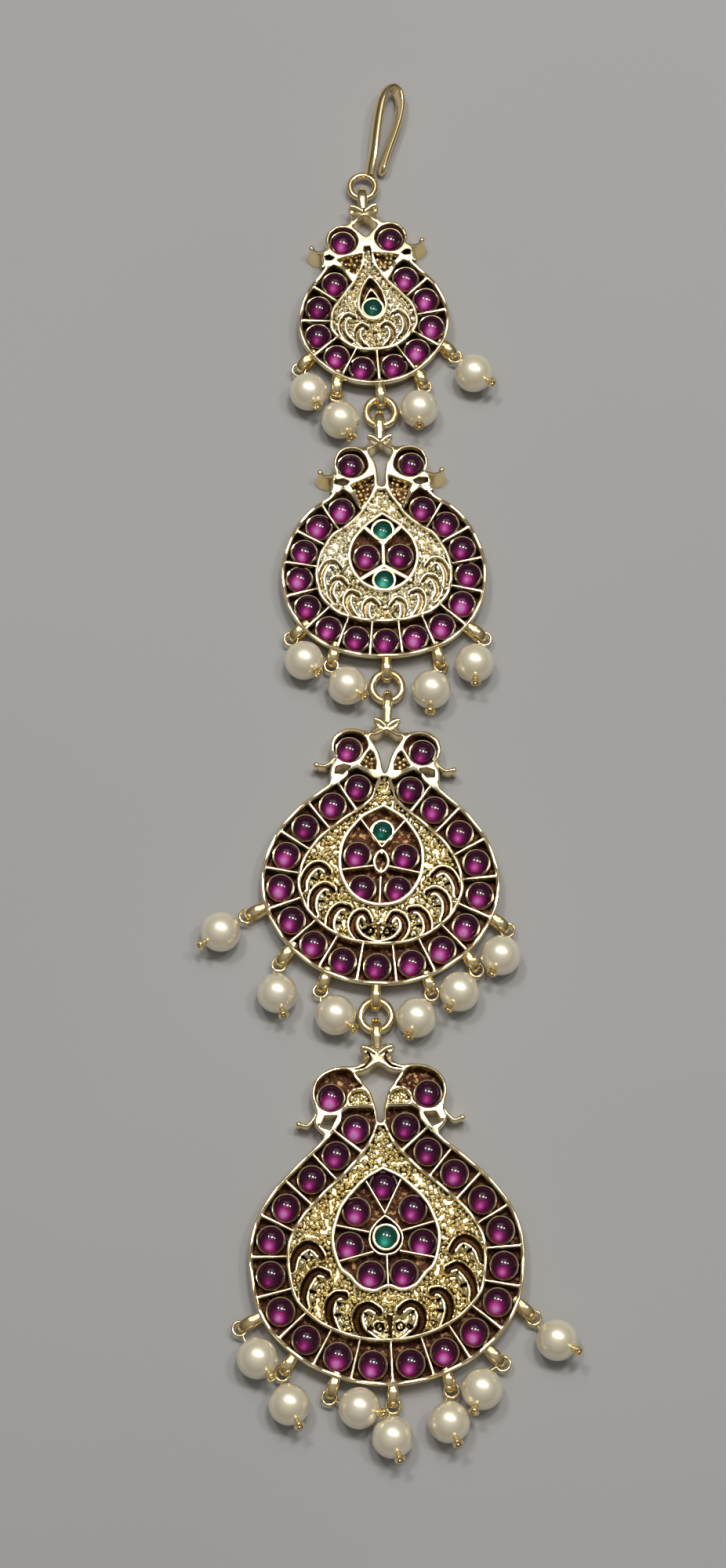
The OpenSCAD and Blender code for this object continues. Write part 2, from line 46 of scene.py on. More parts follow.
# ---------------------------------------------------------------- tables (mm)
PLATE = [(1.43, 63.16, 4.85), (2.7, 27.26, 1.45), (2.18, -13.57, -2.3), (2.89, -60.71, 2.5)]
BAND = [
    [(2.1, -6.65), (5.3, -4.75), (7.5, -1.5), (7.1, 2.45), (4.7, 5.75), (2.6, 8.3), (1.9, 11)],
    [(0, -8.85), (3.75, -8.45), (7.25, -7), (9.9, -4), (10.85, -0.1), (10.2, 3.55), (8.2, 7),
     (5.25, 9.2), (3.1, 12.2), (2.5, 15)],
    [(0, -10.8), (4.3, -10.2), (8, -8.25), (10.85, -5.25), (12.45, -1.1), (11.9, 3.1), (9.7, 6.8),
     (6.4, 9.8), (3.3, 12.3), (2.3, 15.2), (2, 18)],
    [(2.27, -12.45), (6.4, -11.3), (10.1, -9.1), (13.05, -5.6), (14.1, -1.25), (13.9, 3.05),
     (11.9, 6.85), (8.7, 10.2), (5.6, 13), (3.05, 16.2), (2.75, 19.3), (3, 22.4)]]
EDGE = [(2.35, 2, 0.6, 0.3, 0.45), (2.4, 2.2, 0.4, 0.3, 0.42), (2.45, 2.3, 0.55, -0.75, 0.58),
        (2.5, 2.3, 0.65, -0.9, 0.68)]
CREST = [
    [(6.35, 7.9), (6.1, 8.8), (6.15, 9.6), (5.85, 10.3), (5.3, 10.8), (5.5, 11.6), (5.3, 12.6),
     (4.6, 13.5), (3.5, 14), (2.4, 14.1), (1.9, 14.6), (1.7, 15.2), (1.95, 15.8), (1.95, 16.6),
     (1.3, 17), (0.5, 16.9)],
    [(6.75, 11.4), (6.45, 12.2), (6.45, 13), (6.3, 13.7), (5.9, 14.3), (6.2, 15.3), (6, 16.4),
     (5.4, 17.4), (4.45, 18), (3.2, 18.1), (2.1, 17.95), (1.6, 18.25), (1.35, 18.65), (1.65, 19.05),
     (1.6, 19.5), (1, 19.75), (0.5, 19.6)],
    [(6.85, 13.1), (6.95, 13.9), (6.8, 14.9), (6.35, 15.7), (6.85, 16.5), (7.05, 17.4), (6.8, 18.6),
     (6.1, 19.45), (5.1, 20), (3.75, 20.05), (2.4, 19.75), (1.7, 19.95), (1.35, 20.4), (1.7, 20.9),
     (1.7, 21.4), (1.05, 21.7), (0.5, 21.55)],
    [(7.05, 15.5), (7.85, 16.3), (8.15, 17.2), (7.85, 18.2), (8.1, 19.2), (8.35, 20.4), (8.05, 21.9),
     (7.2, 22.95), (5.9, 23.65), (4.4, 23.9), (2.9, 23.85), (2.05, 24.25), (1.75, 25), (2.1, 25.6),
     (2.05, 26.3), (1.3, 26.6), (0.6, 26.45)]]
GAP = [
    [(0, 15.2), (1, 14.25), (1.55, 13.65), (0.9, 12.9), (0, 12.1)],
    [(0, 18.3), (0.8, 17.7), (1.5, 17.2), (1.2, 16.3), (0.7, 15.4), (0.45, 14), (0.4, 12.6), (0, 12.3)],
    [(0, 19.9), (0.5, 19.6), (1.2, 19.15), (2, 18.95), (1.7, 18.3), (1.2, 17.5), (0.8, 16.7), (0.5, 15.7),
     (0.3, 14.8), (0, 14.2)],
    [(0, 24.05), (0.5, 23.85), (1.2, 23.35), (2, 23.05), (2.7, 22.9), (2.45, 22.3), (1.85, 21.6),
     (1.15, 20.7), (0.75, 19.5), (0.45, 18.3), (0.3, 17), (0, 16.8)]]
HEAD = [
    [(1.15, 11.5), (1.5, 12.7), (2.4, 13.4), (3.6, 13.5), (4.6, 12.8), (5, 11.6), (4.7, 10.5),
     (3.8, 9.75), (2.7, 9.75), (1.7, 10.3)],
    [(1.7, 15.1), (2, 16.4), (2.8, 17.3), (4.1, 17.5), (5.15, 17), (5.7, 15.9), (5.65, 14.7),
     (4.9, 13.8), (3.9, 13.5), (2.9, 13.7), (2.1, 14.3)],
    [(2.3, 17.6), (2.6, 18.6), (3.4, 19.3), (4.8, 19.4), (6, 18.7), (6.5, 17.6), (6.3, 16.4),
     (5.5, 15.6), (4.5, 15.4), (3.5, 15.8), (2.9, 16.6)],
    [(2.15, 21.25), (2.6, 22.1), (3.1, 22.75), (3.6, 23.3), (4.5, 23.45), (5.8, 23.25), (7, 22.6),
     (7.65, 21.6), (7.85, 20.4), (7.55, 19.2), (6.8, 18.5), (5.9, 18.3), (4.9, 18.6), (4.2, 19.3),
     (3.95, 20.3), (3.2, 21.05)]]
NECK = [
    [(0.72, 9.6), (1.8, 9.4), (3, 9.25), (4.1, 8.95), (3.3, 8), (2.45, 6.95), (1.95, 6.75), (1.3, 7.3), (0.72, 8.2)],
    [(0.95, 13.75), (2.3, 13.2), (4, 12.45), (3.5, 11.45), (3, 10.3), (2.75, 9.4), (2.15, 10), (1.5, 11),
     (1, 12.3)],
    [(1.15, 14.6), (1.15, 15.6), (1.5, 16.7), (1.95, 17.15), (2.35, 16.65), (2.75, 15.85), (3.15, 15.2),
     (2.5, 14.85), (1.8, 14.65)],
    [(1.12, 19.1), (3.6, 19.05), (3.75, 19.8), (3.25, 20.6), (2.5, 20.8), (1.7, 20.6), (1.25, 19.9)]]
NECK_LOW = [1.65, 1.4, 1.6, 1.7]
WINDOW = [
    [(4.45, 9.3), (5.1, 9.75), (5.65, 9.6), (5.6, 9.05), (4.9, 8.9)],
    [(4.15, 12.95), (4.9, 13.35), (6, 13.2), (6.05, 12.75), (5.2, 12.4), (4.55, 12.45)],
    [(4.3, 14.85), (5.2, 15.05), (6.2, 14.75), (6.3, 13.9), (5.3, 13.8)],
    [(5.3, 17.7), (6.75, 17.75), (7.4, 16.5), (6.2, 16)]]
BEAK = [
    [(5.0, 10.6), (5.6, 10.35), (6.2, 10.2), (6.9, 10.35), (7.35, 11)],
    [(5.5, 14.2), (6.2, 13.9), (6.9, 13.75), (7.55, 13.9), (7.9, 14.4)],
    [(6.1, 16.3), (6.5, 15.75), (7, 15.2), (7.7, 14.85), (8.7, 15)],
    [(7.4, 18.9), (7.9, 18), (8.35, 17.3), (9, 16.75), (10, 17)]]
BEAK_Z = [(0, 2.9), (0, 2.9), (0.2, 2.8), (0.5, 2.6)]
MED_C = [1.65, 2.7, 2.65, 2.7]
MED = [
    [(-90, 1.85), (-45, 1.85), (0, 2), (30, 2.3), (60, 3.05), (75, 3.8), (90, 4.9)],
    [(-90, 5.05), (-60, 4.9), (-30, 4.7), (0, 4.65), (30, 4.65), (60, 4.9), (75, 5.3), (90, 6)],
    [(-90, 5.85), (-60, 5.85), (-30, 5.55), (0, 5.45), (30, 5.75), (60, 6.35), (75, 6.85), (90, 7.5)],
    [(-90, 6.1), (-75, 6.85), (-60, 7), (-45, 6.65), (-30, 6.85), (0, 6.7), (30, 6.7), (45, 6.9),
     (60, 7.2), (75, 7.9), (90, 8.7)]]
MED_BAR = [
    [],
    [((0, 4.3), (2.3, 6.6)), ((0, 1.3), (3.5, -0.8))],
    [((0, 4.5), (2.8, 8.1)), ((0.7, 2.1), (5.3, 1.3)), ((0, 0.6), (0, -2.9))],
    [((0, 5.6), (2.1, 9.6)), ((2, 3.4), (6.4, 4.5)), ((1.6, 1), (5.9, 0)), ((0, 0.6), (0, -3.2))]]
MED_RUBY = [[], [(2.14, 2.7)], [(3, 3.47), (2.25, -0.8)], [(0, 9.05), (3.42, 6.05), (4.42, 1.9), (1.98, -1.72)]]
MED_EM = [[(0, 1.6)], [(0, 6.1), (0, -0.72)], [(0, 6.55)], [(0, 2.7)]]
EM_D = [2.3, 2.35, 2.35, 2.6]
# upper end of the topmost cell of each band
PEAK = [[(4.6, 8.3), (3.6, 7.6)], [(4.95, 11.95), (4, 11.2)], [(3.6, 14.75), (2.3, 14.2), (1.4, 13.5)], [(3.9, 18.65), (1.15, 18.6)]]
HEAD_RUBY = [(3.15, 11.6), (3.95, 15.35), (4.65, 17.2), (5.95, 20.15)]
TIP = [[(2.4, 5), (1.5, 6.4), (0.8, 8), (0.4, 10.6)], [(2.7, 8.4), (1.8, 9.8), (1, 11), (0.5, 11.8)],
       [(1.15, 11.6), (0.85, 12.8), (0.4, 13.7)], [(0.75, 15.5), (0.35, 16.3)]]
TIE = [(-9, 3.2, 16.8, 3), (-11.2, 3, 19.5, 3.9), (-13.2, 3.1, 21.5, 4.1), (0, 0, 26.4, 3.65)]
RING = [(2.33, 50.5), (3.07, 12.5), (1.6, -30.4)]
RING_Z = 1.3
# plate, eyelet x, y, direction, length, pearl x, y, axis direction, rise
DROP = [
    (0, -8.5, -3.9, -135, 2.9, -9.4, -9.5, -70, 30), (0, -5.4, -7.1, -98, 3.1, -5.6, -13.8, -67, 17),
    (0, 5.1, -7.3, -71, 2.6, 4.8, -13.1, -95, 26), (0, 8.7, -3.8, -49, 2.6, 12.4, -8.7, -45, 26),
    (1, -10.3, -6.3, -138, 2.7, -10.5, -11.3, -52, 32), (1, -6.5, -9.3, -103, 2.7, -5.1, -14.8, -42, 30),
    (1, 6.4, -9.6, -78, 2.8, 5.6, -15.6, -95, 16), (1, 10.6, -6.9, -39, 2.9, 11.2, -12.2, -90, 26),
    (2, -14.2, -3.6, -153, 2.9, -19.6, -7.2, -140, 18), (2, -10.7, -8.5, -123, 3, -12.2, -14.7, -72, 20),
    (2, -6.1585, -11.5913, -107, 2.7, -4.9, -17.2, -38, 24), (2, 6.2, -11.6, -72, 2.5, 5.1, -17.1, -108, 32),
    (2, 11.1, -8.7, -55, 2.45, 10.3, -13.6, -118, 31), (2, 14.2, -3.8, -38, 2.6, 15.25, -8.8, -112, 32),
    (3, -15.6, -6.1, -153, 3, -16, -11.1, -56, 26), (3, -11.8, -11.1, -126, 2.5, -12.4, -16.7, -67, 28),
    (3, -6.7, -13.6, -111, 2.8, -4.1, -17.5, -18, 30), (3, 0, -14.8, -91, 2.8, -0.3, -21.1, -75, 32),
    (3, 6.5, -13.7, -76, 2.4, 6.5, -19.6, -72, 32), (3, 11.5, -11, -46, 2.9, 10.6, -15.9, -113, 26),
    (3, 15.4, -5.6, -46, 3, 19.9, -10.5, -34, 32)]
HOOK = [(0.75, 84.9, 1.6), (1, 86.2, 2.05), (1.35, 88.2, 2.5), (1.65, 91, 2.8), (2, 93.5, 2.95),
        (2.4, 95.5, 2.95), (3.05, 97, 2.7), (4, 97.8, 2.1), (4.85, 97.2, 1.5), (5.15, 95.5, 1.2),
        (4.85, 93.4, 1.12), (4.2, 91.1, 1.08), (3.35, 88.5, 1.07), (2.8, 86.6, 1.07), (2.5, 85.1, 1.07)]
HOOK_RING = (-0.05, 83.2)
# Leaf scrolls of the field, right half: groove lines from the curled end outwards
SCROLL = [
    [[(1.1, -0.9), (1.7, -0.6), (2.3, -1.2), (2.4, -2.2), (1.9, -3.1), (1.2, -3.7)],
     [(2.6, 0.7), (3.4, 1), (4.1, 0.3), (4.3, -0.8), (3.9, -1.9), (3.1, -2.7)]],
    [[(1, -3.9), (1.7, -3.3), (2.4, -3.8), (2.5, -4.8), (2.2, -5.8), (1.5, -6.4)],
     [(3.5, -2.5), (4.3, -2.2), (4.8, -2.8), (4.8, -3.9), (4.1, -5.2), (3.3, -6)],
     [(5, -1), (5.6, -0.3), (6.4, -0.4), (6.9, -1.4), (6.9, -2.4), (6.3, -3.3)],
     [(5.7, 1.3), (6.4, 2), (7.4, 1.8), (8, 0.7), (8.1, -0.4), (7.8, -1.5)]],
    [[(1.3, -4.9), (1.9, -4), (2.8, -4.3), (3.3, -5.3), (3.1, -6.3), (2.4, -7.2), (1.5, -7.7), (0.1, -8)],
     [(3.9, -3.4), (4.9, -3.3), (5.7, -4), (6.1, -5), (6, -6.2), (5.3, -7.1)],
     [(6, -1.1), (6.9, -0.7), (7.9, -1.3), (8.4, -2.4), (8.3, -3.7), (7.9, -4.6)],
     [(6.6, 1.2), (7.4, 1.9), (8.4, 1.8), (9.2, 0.9), (9.6, -0.3), (9.5, -1.3)]],
    [[(1.3, -6.1), (2.3, -5.4), (3.3, -5.6), (3.9, -6.5), (3.9, -7.5), (3.5, -8.5), (2.6, -9.3), (1.6, -9.9),
      (0.2, -10.1)],
     [(5.3, -4), (6.3, -4), (7.1, -4.9), (7.3, -6.2), (6.9, -7.5), (6.3, -8.5)],
     [(7.3, -1.4), (8.4, -1), (9.3, -1.6), (10, -2.7), (10.3, -4.1), (10, -5.3)],
     [(7.9, 0.9), (8.6, 1.9), (9.6, 2.2), (10.6, 1.6), (11.2, 0.6), (11.4, -0.7)]]]
RUBY_D, TOP_Z = 3.15, 3.25
RIM_W, INNER_W, MED_W, BAR_W = 0.52, 0.42, 0.5, 0.34
FLOOR, FIELD = 1.1, 2.15


# ---------------------------------------------------------------- curves
def vec(p):
    return np.array(p, dtype=float)


def cr(p, t):
    i = min(max(int(math.floor(t)), 1), len(p) - 3)
    u = t - i
    a, b, c, d = (vec(q) for q in p[i - 1:i + 3])
    return 0.5 * (2 * b + (c - a) * u + (2 * a - 5 * b + 4 * c - d) * u * u + (3 * b - a - 3 * c + d) * u ** 3)


def unit(v):
    return v / max(1e-12, float(np.linalg.norm(v)))


def out_n(p, t):
    d = unit(cr(p, t + 0.02) - cr(p, t - 0.02))
    return np.array([d[1], -d[0]])


def off(p, t, r):
    return cr(p, t) + r * out_n(p, t)


def smooth(p, n):
    q = [2 * vec(p[0]) - vec(p[1])] + [vec(a) for a in p] + [2 * vec(p[-1]) - vec(p[-2])]
    return [cr(q, i + s / n) for i in range(1, len(q) - 2) for s in range(n)] + [vec(p[-1])]


def closed(p, n):
    m = len(p)
    return [cr([p[(i - 1) % m], p[i], p[(i + 1) % m], p[(i + 2) % m]], 1 + s / n) for i in range(m) for s in range(n)]


def flip(p):
    return [vec((-q[0], *q[1:])) for q in p]


def area(p):
    return 0.5 * sum(p[i - 1][0] * p[i][1] - p[i][0] * p[i - 1][1] for i in range(len(p)))


def ccw(p, positive=True):
    return list(p) if (area(p) > 0) == positive else list(p)[::-1]


def even(p, step, loop=True):
    """The same line with points about step apart; its sharp corners are kept."""
    q = list(p) + ([p[0]] if loop else [])
    res = []
    for a, b in zip(q, q[1:]):
        a, b = vec(a), vec(b)
        n = max(1, int(round(np.linalg.norm(b - a) / step)))
        res += [a + (b - a) * i / n for i in range(n)]
    return res if loop else res + [vec(q[-1])]


def band(k):
    h = BAND[k]
    s = 1 if h[0][0] == 0 else 0
    return [(-q[0], q[1]) for q in h[:s - 1 if s else None:-1]] + list(h) if s else [(-q[0], q[1]) for q in h[::-1]] + list(h)


def last(k):
    return len(band(k)) - 3


def inner(k, t):
    return EDGE[k][1] + EDGE[k][2] * max(0.0, -out_n(band(k), t)[1]) ** 3


def outline(k):
    b = band(k)
    t1, t0 = last(k) + EDGE[k][3], 2 - EDGE[k][3]
    n = round((t1 - t0) * 10)
    rim = [off(b, t0 + (t1 - t0) * i / n, EDGE[k][0]) for i in range(n + 1)]
    c = smooth(CREST[k], 5)
    return rim + c + flip(c)[::-1]


def cell(k, i):
    b = band(k)
    t0 = 2 - EDGE[k][4] if i == 2 else i - 0.5
    t1 = i + EDGE[k][4] if i == last(k) else i + 0.5
    g = BAR_W / 2 / np.linalg.norm(cr(b, i + 0.5) - cr(b, i - 0.5))
    ta, tb = t0 + g, t1 - g
    n = 10
    o = [off(b, ta + (tb - ta) * s / n, EDGE[k][0] - RIM_W) for s in range(n + 1)]
    q = []
    for s in range(n, -1, -1):
        t = ta + (tb - ta) * s / n
        q.append(off(b, t, -inner(k, t) + INNER_W / 2))
    top = i in (2, last(k)) and cr(b, i)[1] > 0
    if top and i == last(k):
        return o + [vec(a) for a in PEAK[k]] + q
    if top:
        return o + q + flip(PEAK[k])[::-1]
    return o + q


def field(k, grow=0.0):
    b = band(k)
    n = (last(k) - 2) * 6
    r = []
    for i in range(n + 1):
        t = 2 + (last(k) - 2) * i / n
        r.append(off(b, t, -inner(k, t) - INNER_W / 2 + grow))
    tip = smooth(TIP[k], 3)
    return r + tip + flip(tip)[::-1]


def med(k, w, n=8):
    h = [((q[1] - w) * math.cos(math.radians(q[0])), MED_C[k] + (q[1] - w) * math.sin(math.radians(q[0]))) for q in MED[k]]
    p = flip(h)[::-1] + [vec(q) for q in h[1:]]
    return smooth(p, n)[:-1]


def inside(poly, X, Y):
    """Which grid points lie inside a polygon."""
    r = np.zeros(X.shape, bool)
    for i in range(len(poly)):
        x0, y0 = poly[i - 1][0], poly[i - 1][1]
        x1, y1 = poly[i][0], poly[i][1]
        if y0 == y1:
            continue
        r ^= ((Y < y0) != (Y < y1)) & (X < (x1 - x0) * (Y - y0) / (y1 - y0) + x0)
    return r


# ---------------------------------------------------------------- mesh maker
class Maker:
    def __init__(self):
        self.v, self.f, self.m, self.c = [], [], [], []

    def add(self, verts, faces, mat=0, cav=None):
        n = len(self.v)
        self.v += [tuple(float(a) for a in q) for q in verts]
        self.f += [tuple(i + n for i in q) for q in faces]
        self.m += [mat] * len(faces)
        self.c += [0.0] * len(verts) if cav is None else [float(a) for a in cav]

    def object(self, name, mats, frame_=None, angle=40):
        x0, y0, turn = frame_ or (0, 0, 0)
        c, s = math.cos(math.radians(turn)), math.sin(math.radians(turn))
        a = np.array(self.v)
        p = np.empty_like(a)
        p[:, 0] = (c * a[:, 0] - s * a[:, 1] + x0 + SHIFT[0]) * MM
        p[:, 1] = (s * a[:, 0] + c * a[:, 1] + y0 + SHIFT[1]) * MM
        p[:, 2] = a[:, 2] * MM
        me = bpy.data.meshes.new(name)
        me.from_pydata(p.tolist(), [], self.f)
        for m in mats:
            me.materials.append(m)
        me.polygons.foreach_set("material_index", self.m)
        at = me.attributes.new("painted_shade", "FLOAT", "POINT")
        at.data.foreach_set("value", self.c)
        bm = bmesh.new()
        bm.from_mesh(me)
        bmesh.ops.remove_doubles(bm, verts=bm.verts, dist=1.5e-6)
        bmesh.ops.dissolve_degenerate(bm, dist=1e-7, edges=bm.edges)
        # the last slivers along the cut tops and floors are welded and closed
        for near in (6e-6, 1.5e-5, 3e-5):
            torn = [e for e in bm.edges if len(e.link_faces) == 1]
            if torn:
                # a torn edge is cut where another corner lies on it, then they are joined
                corners = sorted({v for e in torn for v in e.verts}, key=lambda v: v.index)
                for e in torn:
                    a, b = e.verts
                    d = b.co - a.co
                    on = []
                    for v in corners:
                        t = (v.co - a.co).dot(d) / d.length_squared
                        if v not in (a, b) and 0.01 < t < 0.99 and (a.co + d * t - v.co).length < near:
                            on.append((t, v.index, v.co.copy()))
                    done = 0.0
                    for t, _, co in sorted(on, key=lambda q: q[:2]):
                        if t - done > 0.01:
                            e, c = bmesh.utils.edge_split(e, a, (t - done) / (1 - done))
                            c.co, a, done = co, c, t
                            e = [x for x in c.link_edges if b in x.verts][0]
                torn = [e for e in bm.edges if len(e.link_faces) == 1]
                bmesh.ops.remove_doubles(bm, verts=list({v for e in torn for v in e.verts}), dist=near)
                bmesh.ops.dissolve_degenerate(bm, dist=1e-7, edges=bm.edges)
            bm.verts.index_update()
            seen, twice = set(), []
            for f in bm.faces:
                key = frozenset(v.index for v in f.verts)
                twice += [f] if key in seen else []
                seen.add(key)
            bmesh.ops.delete(bm, geom=twice, context="FACES_ONLY")
            bmesh.ops.holes_fill(bm, edges=[e for e in bm.edges if len(e.link_faces) == 1], sides=0)
            bmesh.ops.delete(bm, geom=[e for e in bm.edges if not e.link_faces], context="EDGES")
        bm.to_mesh(me)
        bm.free()
        me.polygons.foreach_set("use_smooth", [True] * len(me.polygons))
        me.update()
        me.set_sharp_from_angle(angle=math.radians(angle))
        o = bpy.data.objects.new(name, me)
        bpy.context.scene.collection.objects.link(o)
        return o


def lathe(mk, prof, centre, axis=(0, 0, 1), n=48, mat=0, cav=None):
    """A turned shape. prof: (radius, height) pairs; radius 0 closes an end."""
    a = unit(vec(axis))
    h = vec((1, 0, 0)) if abs(a[0]) < 0.9 else vec((0, 1, 0))
    u = unit(np.cross(h, a))
    w = np.cross(a, u)
    c = vec(centre)
    v, f, rows = [], [], []
    for r, z in prof:
        if r < 1e-9:
            rows.append([len(v)])
            v.append(c + a * z)
        else:
            rows.append(list(range(len(v), len(v) + n)))
            v += [c + a * z + r * (u * math.cos(2 * math.pi * i / n) + w * math.sin(2 * math.pi * i / n)) for i in range(n)]
    for p, q in zip(rows, rows[1:]):
        for i in range(n):
            j = (i + 1) % n
            if len(p) == 1 and len(q) == 1:
                continue
            if len(p) == 1:
                f.append((p[0], q[i], q[j])[::-1])
            elif len(q) == 1:
                f.append((p[i], p[j], q[0]))
            else:
                f.append((p[i], p[j], q[j], q[i]))
    mk.add(v, f, mat, None if cav is None else [cav(q) if callable(cav) else cav for q in v])


def sweep(mk, path, prof, up=(0, 0, 1), loop=False, mat=0, scale=None, cav=None):
    """prof: (side, up) pairs, anticlockwise seen against the way of travel."""
    P = [vec(q) if len(q) == 3 else vec((*q, 0)) for q in path]
    n, m = len(P), len(prof)
    v, f = [], []
    for i in range(n):
        a = P[(i - 1) % n] if loop or i > 0 else P[0]
        b = P[(i + 1) % n] if loop or i < n - 1 else P[-1]
        t = unit(b - a)
        U = up(i) if callable(up) else vec(up)
        s = unit(np.cross(t, U))
        w = np.cross(s, t)
        k = 1.0 if scale is None else scale(i / (n - 1) if n > 1 else 0)
        v += [P[i] + s * q[0] * k + w * q[1] * k for q in prof]
    for i in range(n if loop else n - 1):
        for j in range(m):
            i2, j2 = (i + 1) % n, (j + 1) % m
            f.append((i * m + j, i * m + j2, i2 * m + j2, i2 * m + j)[::-1])
    if not loop:
        f.append(tuple(range(m)))
        f.append(tuple(range((n - 1) * m, n * m))[::-1])
    mk.add(v, f, mat, None if cav is None else [cav] * len(v))


def rounded(w, h, r, n=3):
    """Rounded rectangle of width w (side) and height h (up), centred."""
    p = []
    for cx, cy, a0 in ((w / 2 - r, h / 2 - r, 0), (-w / 2 + r, h / 2 - r, 90), (-w / 2 + r, -h / 2 + r, 180), (w / 2 - r, -h / 2 + r, 270)):
        for i in range(n + 1):
            a = math.radians(a0 + 90 * i / n)
            p.append((cx + r * math.cos(a), cy + r * math.sin(a)))
    return p


def circle(r, n=16):
    return [(r * math.cos(2 * math.pi * i / n), r * math.sin(2 * math.pi * i / n)) for i in range(n)]


def ball(mk, c, r, mat=0, n=24, squash=1.0):
    m = n // 2
    lathe(mk, [(r * math.sin(math.pi * i / m), -r * squash * math.cos(math.pi * i / m)) for i in range(m + 1)], c, n=n, mat=mat)


def torus(mk, c, R, r, axis=(0, 0, 1), n=64, m=20, mat=0, wide=1.0):
    a = unit(vec(axis))
    h = vec((1, 0, 0)) if abs(a[0]) < 0.9 else vec((0, 1, 0))
    u = unit(np.cross(h, a))
    w = np.cross(a, u)
    v, f = [], []
    for i in range(n):
        A = 2 * math.pi * i / n
        e = u * math.cos(A) + w * math.sin(A)
        for j in range(m):
            B = 2 * math.pi * j / m
            v.append(vec(c) + e * (R + r * math.cos(B)) + a * r * wide * math.sin(B))
    for i in range(n):
        for j in range(m):
            i2, j2 = (i + 1) % n, (j + 1) % m
            f.append((i * m + j, i2 * m + j, i2 * m + j2, i * m + j2))
    mk.add(v, f, mat)


def inset(loop, d):
    """Points moved d to the left of the way of travel, mitred; d may be a list."""
    n = len(loop)
    P = np.array(loop)
    e = np.roll(P, -1, 0) - P
    e /= np.maximum(1e-9, np.linalg.norm(e, axis=1))[:, None]
    nl = np.stack([-e[:, 1], e[:, 0]], 1)
    a = np.roll(nl, 1, 0) + nl
    k = np.maximum(0.55, 0.5 * np.sum(a * a, axis=1))
    return P + a / k[:, None] * np.reshape(d, (-1, 1))


def fill(mk, loops, z, mat=0, down=False, cav=None):
    """Face over loops of points: the first one round it, the rest holes. z: one height or one a point."""
    pts = [q for lp in loops for q in lp]
    zs = [z] * len(pts) if isinstance(z, (int, float)) else list(z)
    edges, n0 = [], 0
    for lp in loops:
        edges += [(n0 + i, n0 + (i + 1) % len(lp)) for i in range(len(lp))]
        n0 += len(lp)
    V, _, F, ov, _, _ = delaunay_2d_cdt([Vector((float(q[0]), float(q[1]))) for q in pts], edges, [], 0, 1e-6)
    c = np.array([[sum(V[i][a] for i in t) / len(t) for a in (0, 1)] for t in F])
    use = inside(loops[0], c[:, 0], c[:, 1])
    for lp in loops[1:]:
        use &= ~inside(lp, c[:, 0], c[:, 1])
    v = [(pts[o[0]][0], pts[o[0]][1], zs[o[0]]) if o else (q[0], q[1], float(np.mean(zs))) for q, o in zip(V, ov)]
    f = [tuple(t)[::-1] if down else tuple(t) for t, k in zip(F, use) if k]
    mk.add(v, f, mat, None if cav is None else [cav] * len(v))


def wall(mk, a, b, mat=0):
    """Side faces between two rings of the same number of points."""
    n = len(a)
    mk.add(list(a) + list(b), [(i, (i + 1) % n, n + (i + 1) % n, n + i) for i in range(n)], mat)


def uneven(x, y, amp=0.03):
    return amp * lump(Vector((0.8 * x, 0.8 * y, 7.0))) + 0.8 * amp * lump(Vector((2.4 * x, 2.4 * y, 3.0)))


def land(mk, loops, top, mat=0, steps=4, foot=None):
    """A solid with a gently uneven top and rounded upper edges. loops: (points, radius, low z,
    drop of the top, draft of the wall); the first anticlockwise, the holes clockwise.
    Returns the foot of each wall."""
    tops, feet = [], []
    for pts, r, low, drop, draft in loops:
        ds = np.zeros(len(pts)) if drop is None else np.array(drop)
        ds = ds - np.array([uneven(q[0], q[1]) for q in pts])
        r = np.reshape(r, -1) * np.ones(len(pts))
        lo = inset(pts, -draft) if draft else pts
        prev = [(q[0], q[1], low) for q in lo]
        feet.append(prev)
        if foot and not tops:
            rows = [[(q[0], q[1], low + h) for q in inset(pts, d)] for d, h in foot]
            for p0, p1 in zip(rows, rows[1:]):
                wall(mk, p0, p1, mat)
            feet[-1], prev = rows[0], rows[-1]
        for s in range(steps + 1):
            an = math.pi / 2 * s / steps
            q = inset(pts, r * (1 - math.cos(an)))
            cur = [(q[i][0], q[i][1], top - ds[i] - r[i] + r[i] * math.sin(an)) for i in range(len(pts))]
            wall(mk, prev, cur, mat)
            prev = cur
        tops.append(prev)
    fill(mk, tops, [q[2] for lp in tops for q in lp], mat)
    return feet


# ---------------------------------------------------------------- materials
def tree(name):
    m = bpy.data.materials.new(name)
    m.use_nodes = True
    nt = m.node_tree
    nt.nodes.clear()
    o = nt.nodes.new("ShaderNodeOutputMaterial")
    b = nt.nodes.new("ShaderNodeBsdfPrincipled")
    nt.links.new(b.outputs[0], o.inputs[0])
    return m, nt, b


def node(nt, kind, **kw):
    n = nt.nodes.new(kind)
    for k, v in kw.items():
        if k.startswith("i_"):
            n.inputs[k[2:].replace("_", " ")].default_value = v
        else:
            setattr(n, k, v)
    return n


def noise(nt, scale, detail=3.0, rough=0.5):
    tc = node(nt, "ShaderNodeTexCoord")
    n = node(nt, "ShaderNodeTexNoise", i_Scale=scale, i_Detail=detail, i_Roughness=rough)
    nt.links.new(tc.outputs["Object"], n.inputs["Vector"])
    return n


def ramp(nt, src, stops):
    r = node(nt, "ShaderNodeValToRGB")
    while len(r.color_ramp.elements) < len(stops):
        r.color_ramp.elements.new(0.5)
    for e, (p, c) in zip(r.color_ramp.elements, stops):
        e.position = p
        e.color = (*c, 1) if len(c) == 3 else c
    nt.links.new(src, r.inputs[0])
    return r


def bump(nt, src, strength, dist):
    b = node(nt, "ShaderNodeBump", i_Strength=strength, i_Distance=dist)
    nt.links.new(src, b.inputs["Height"])
    return b


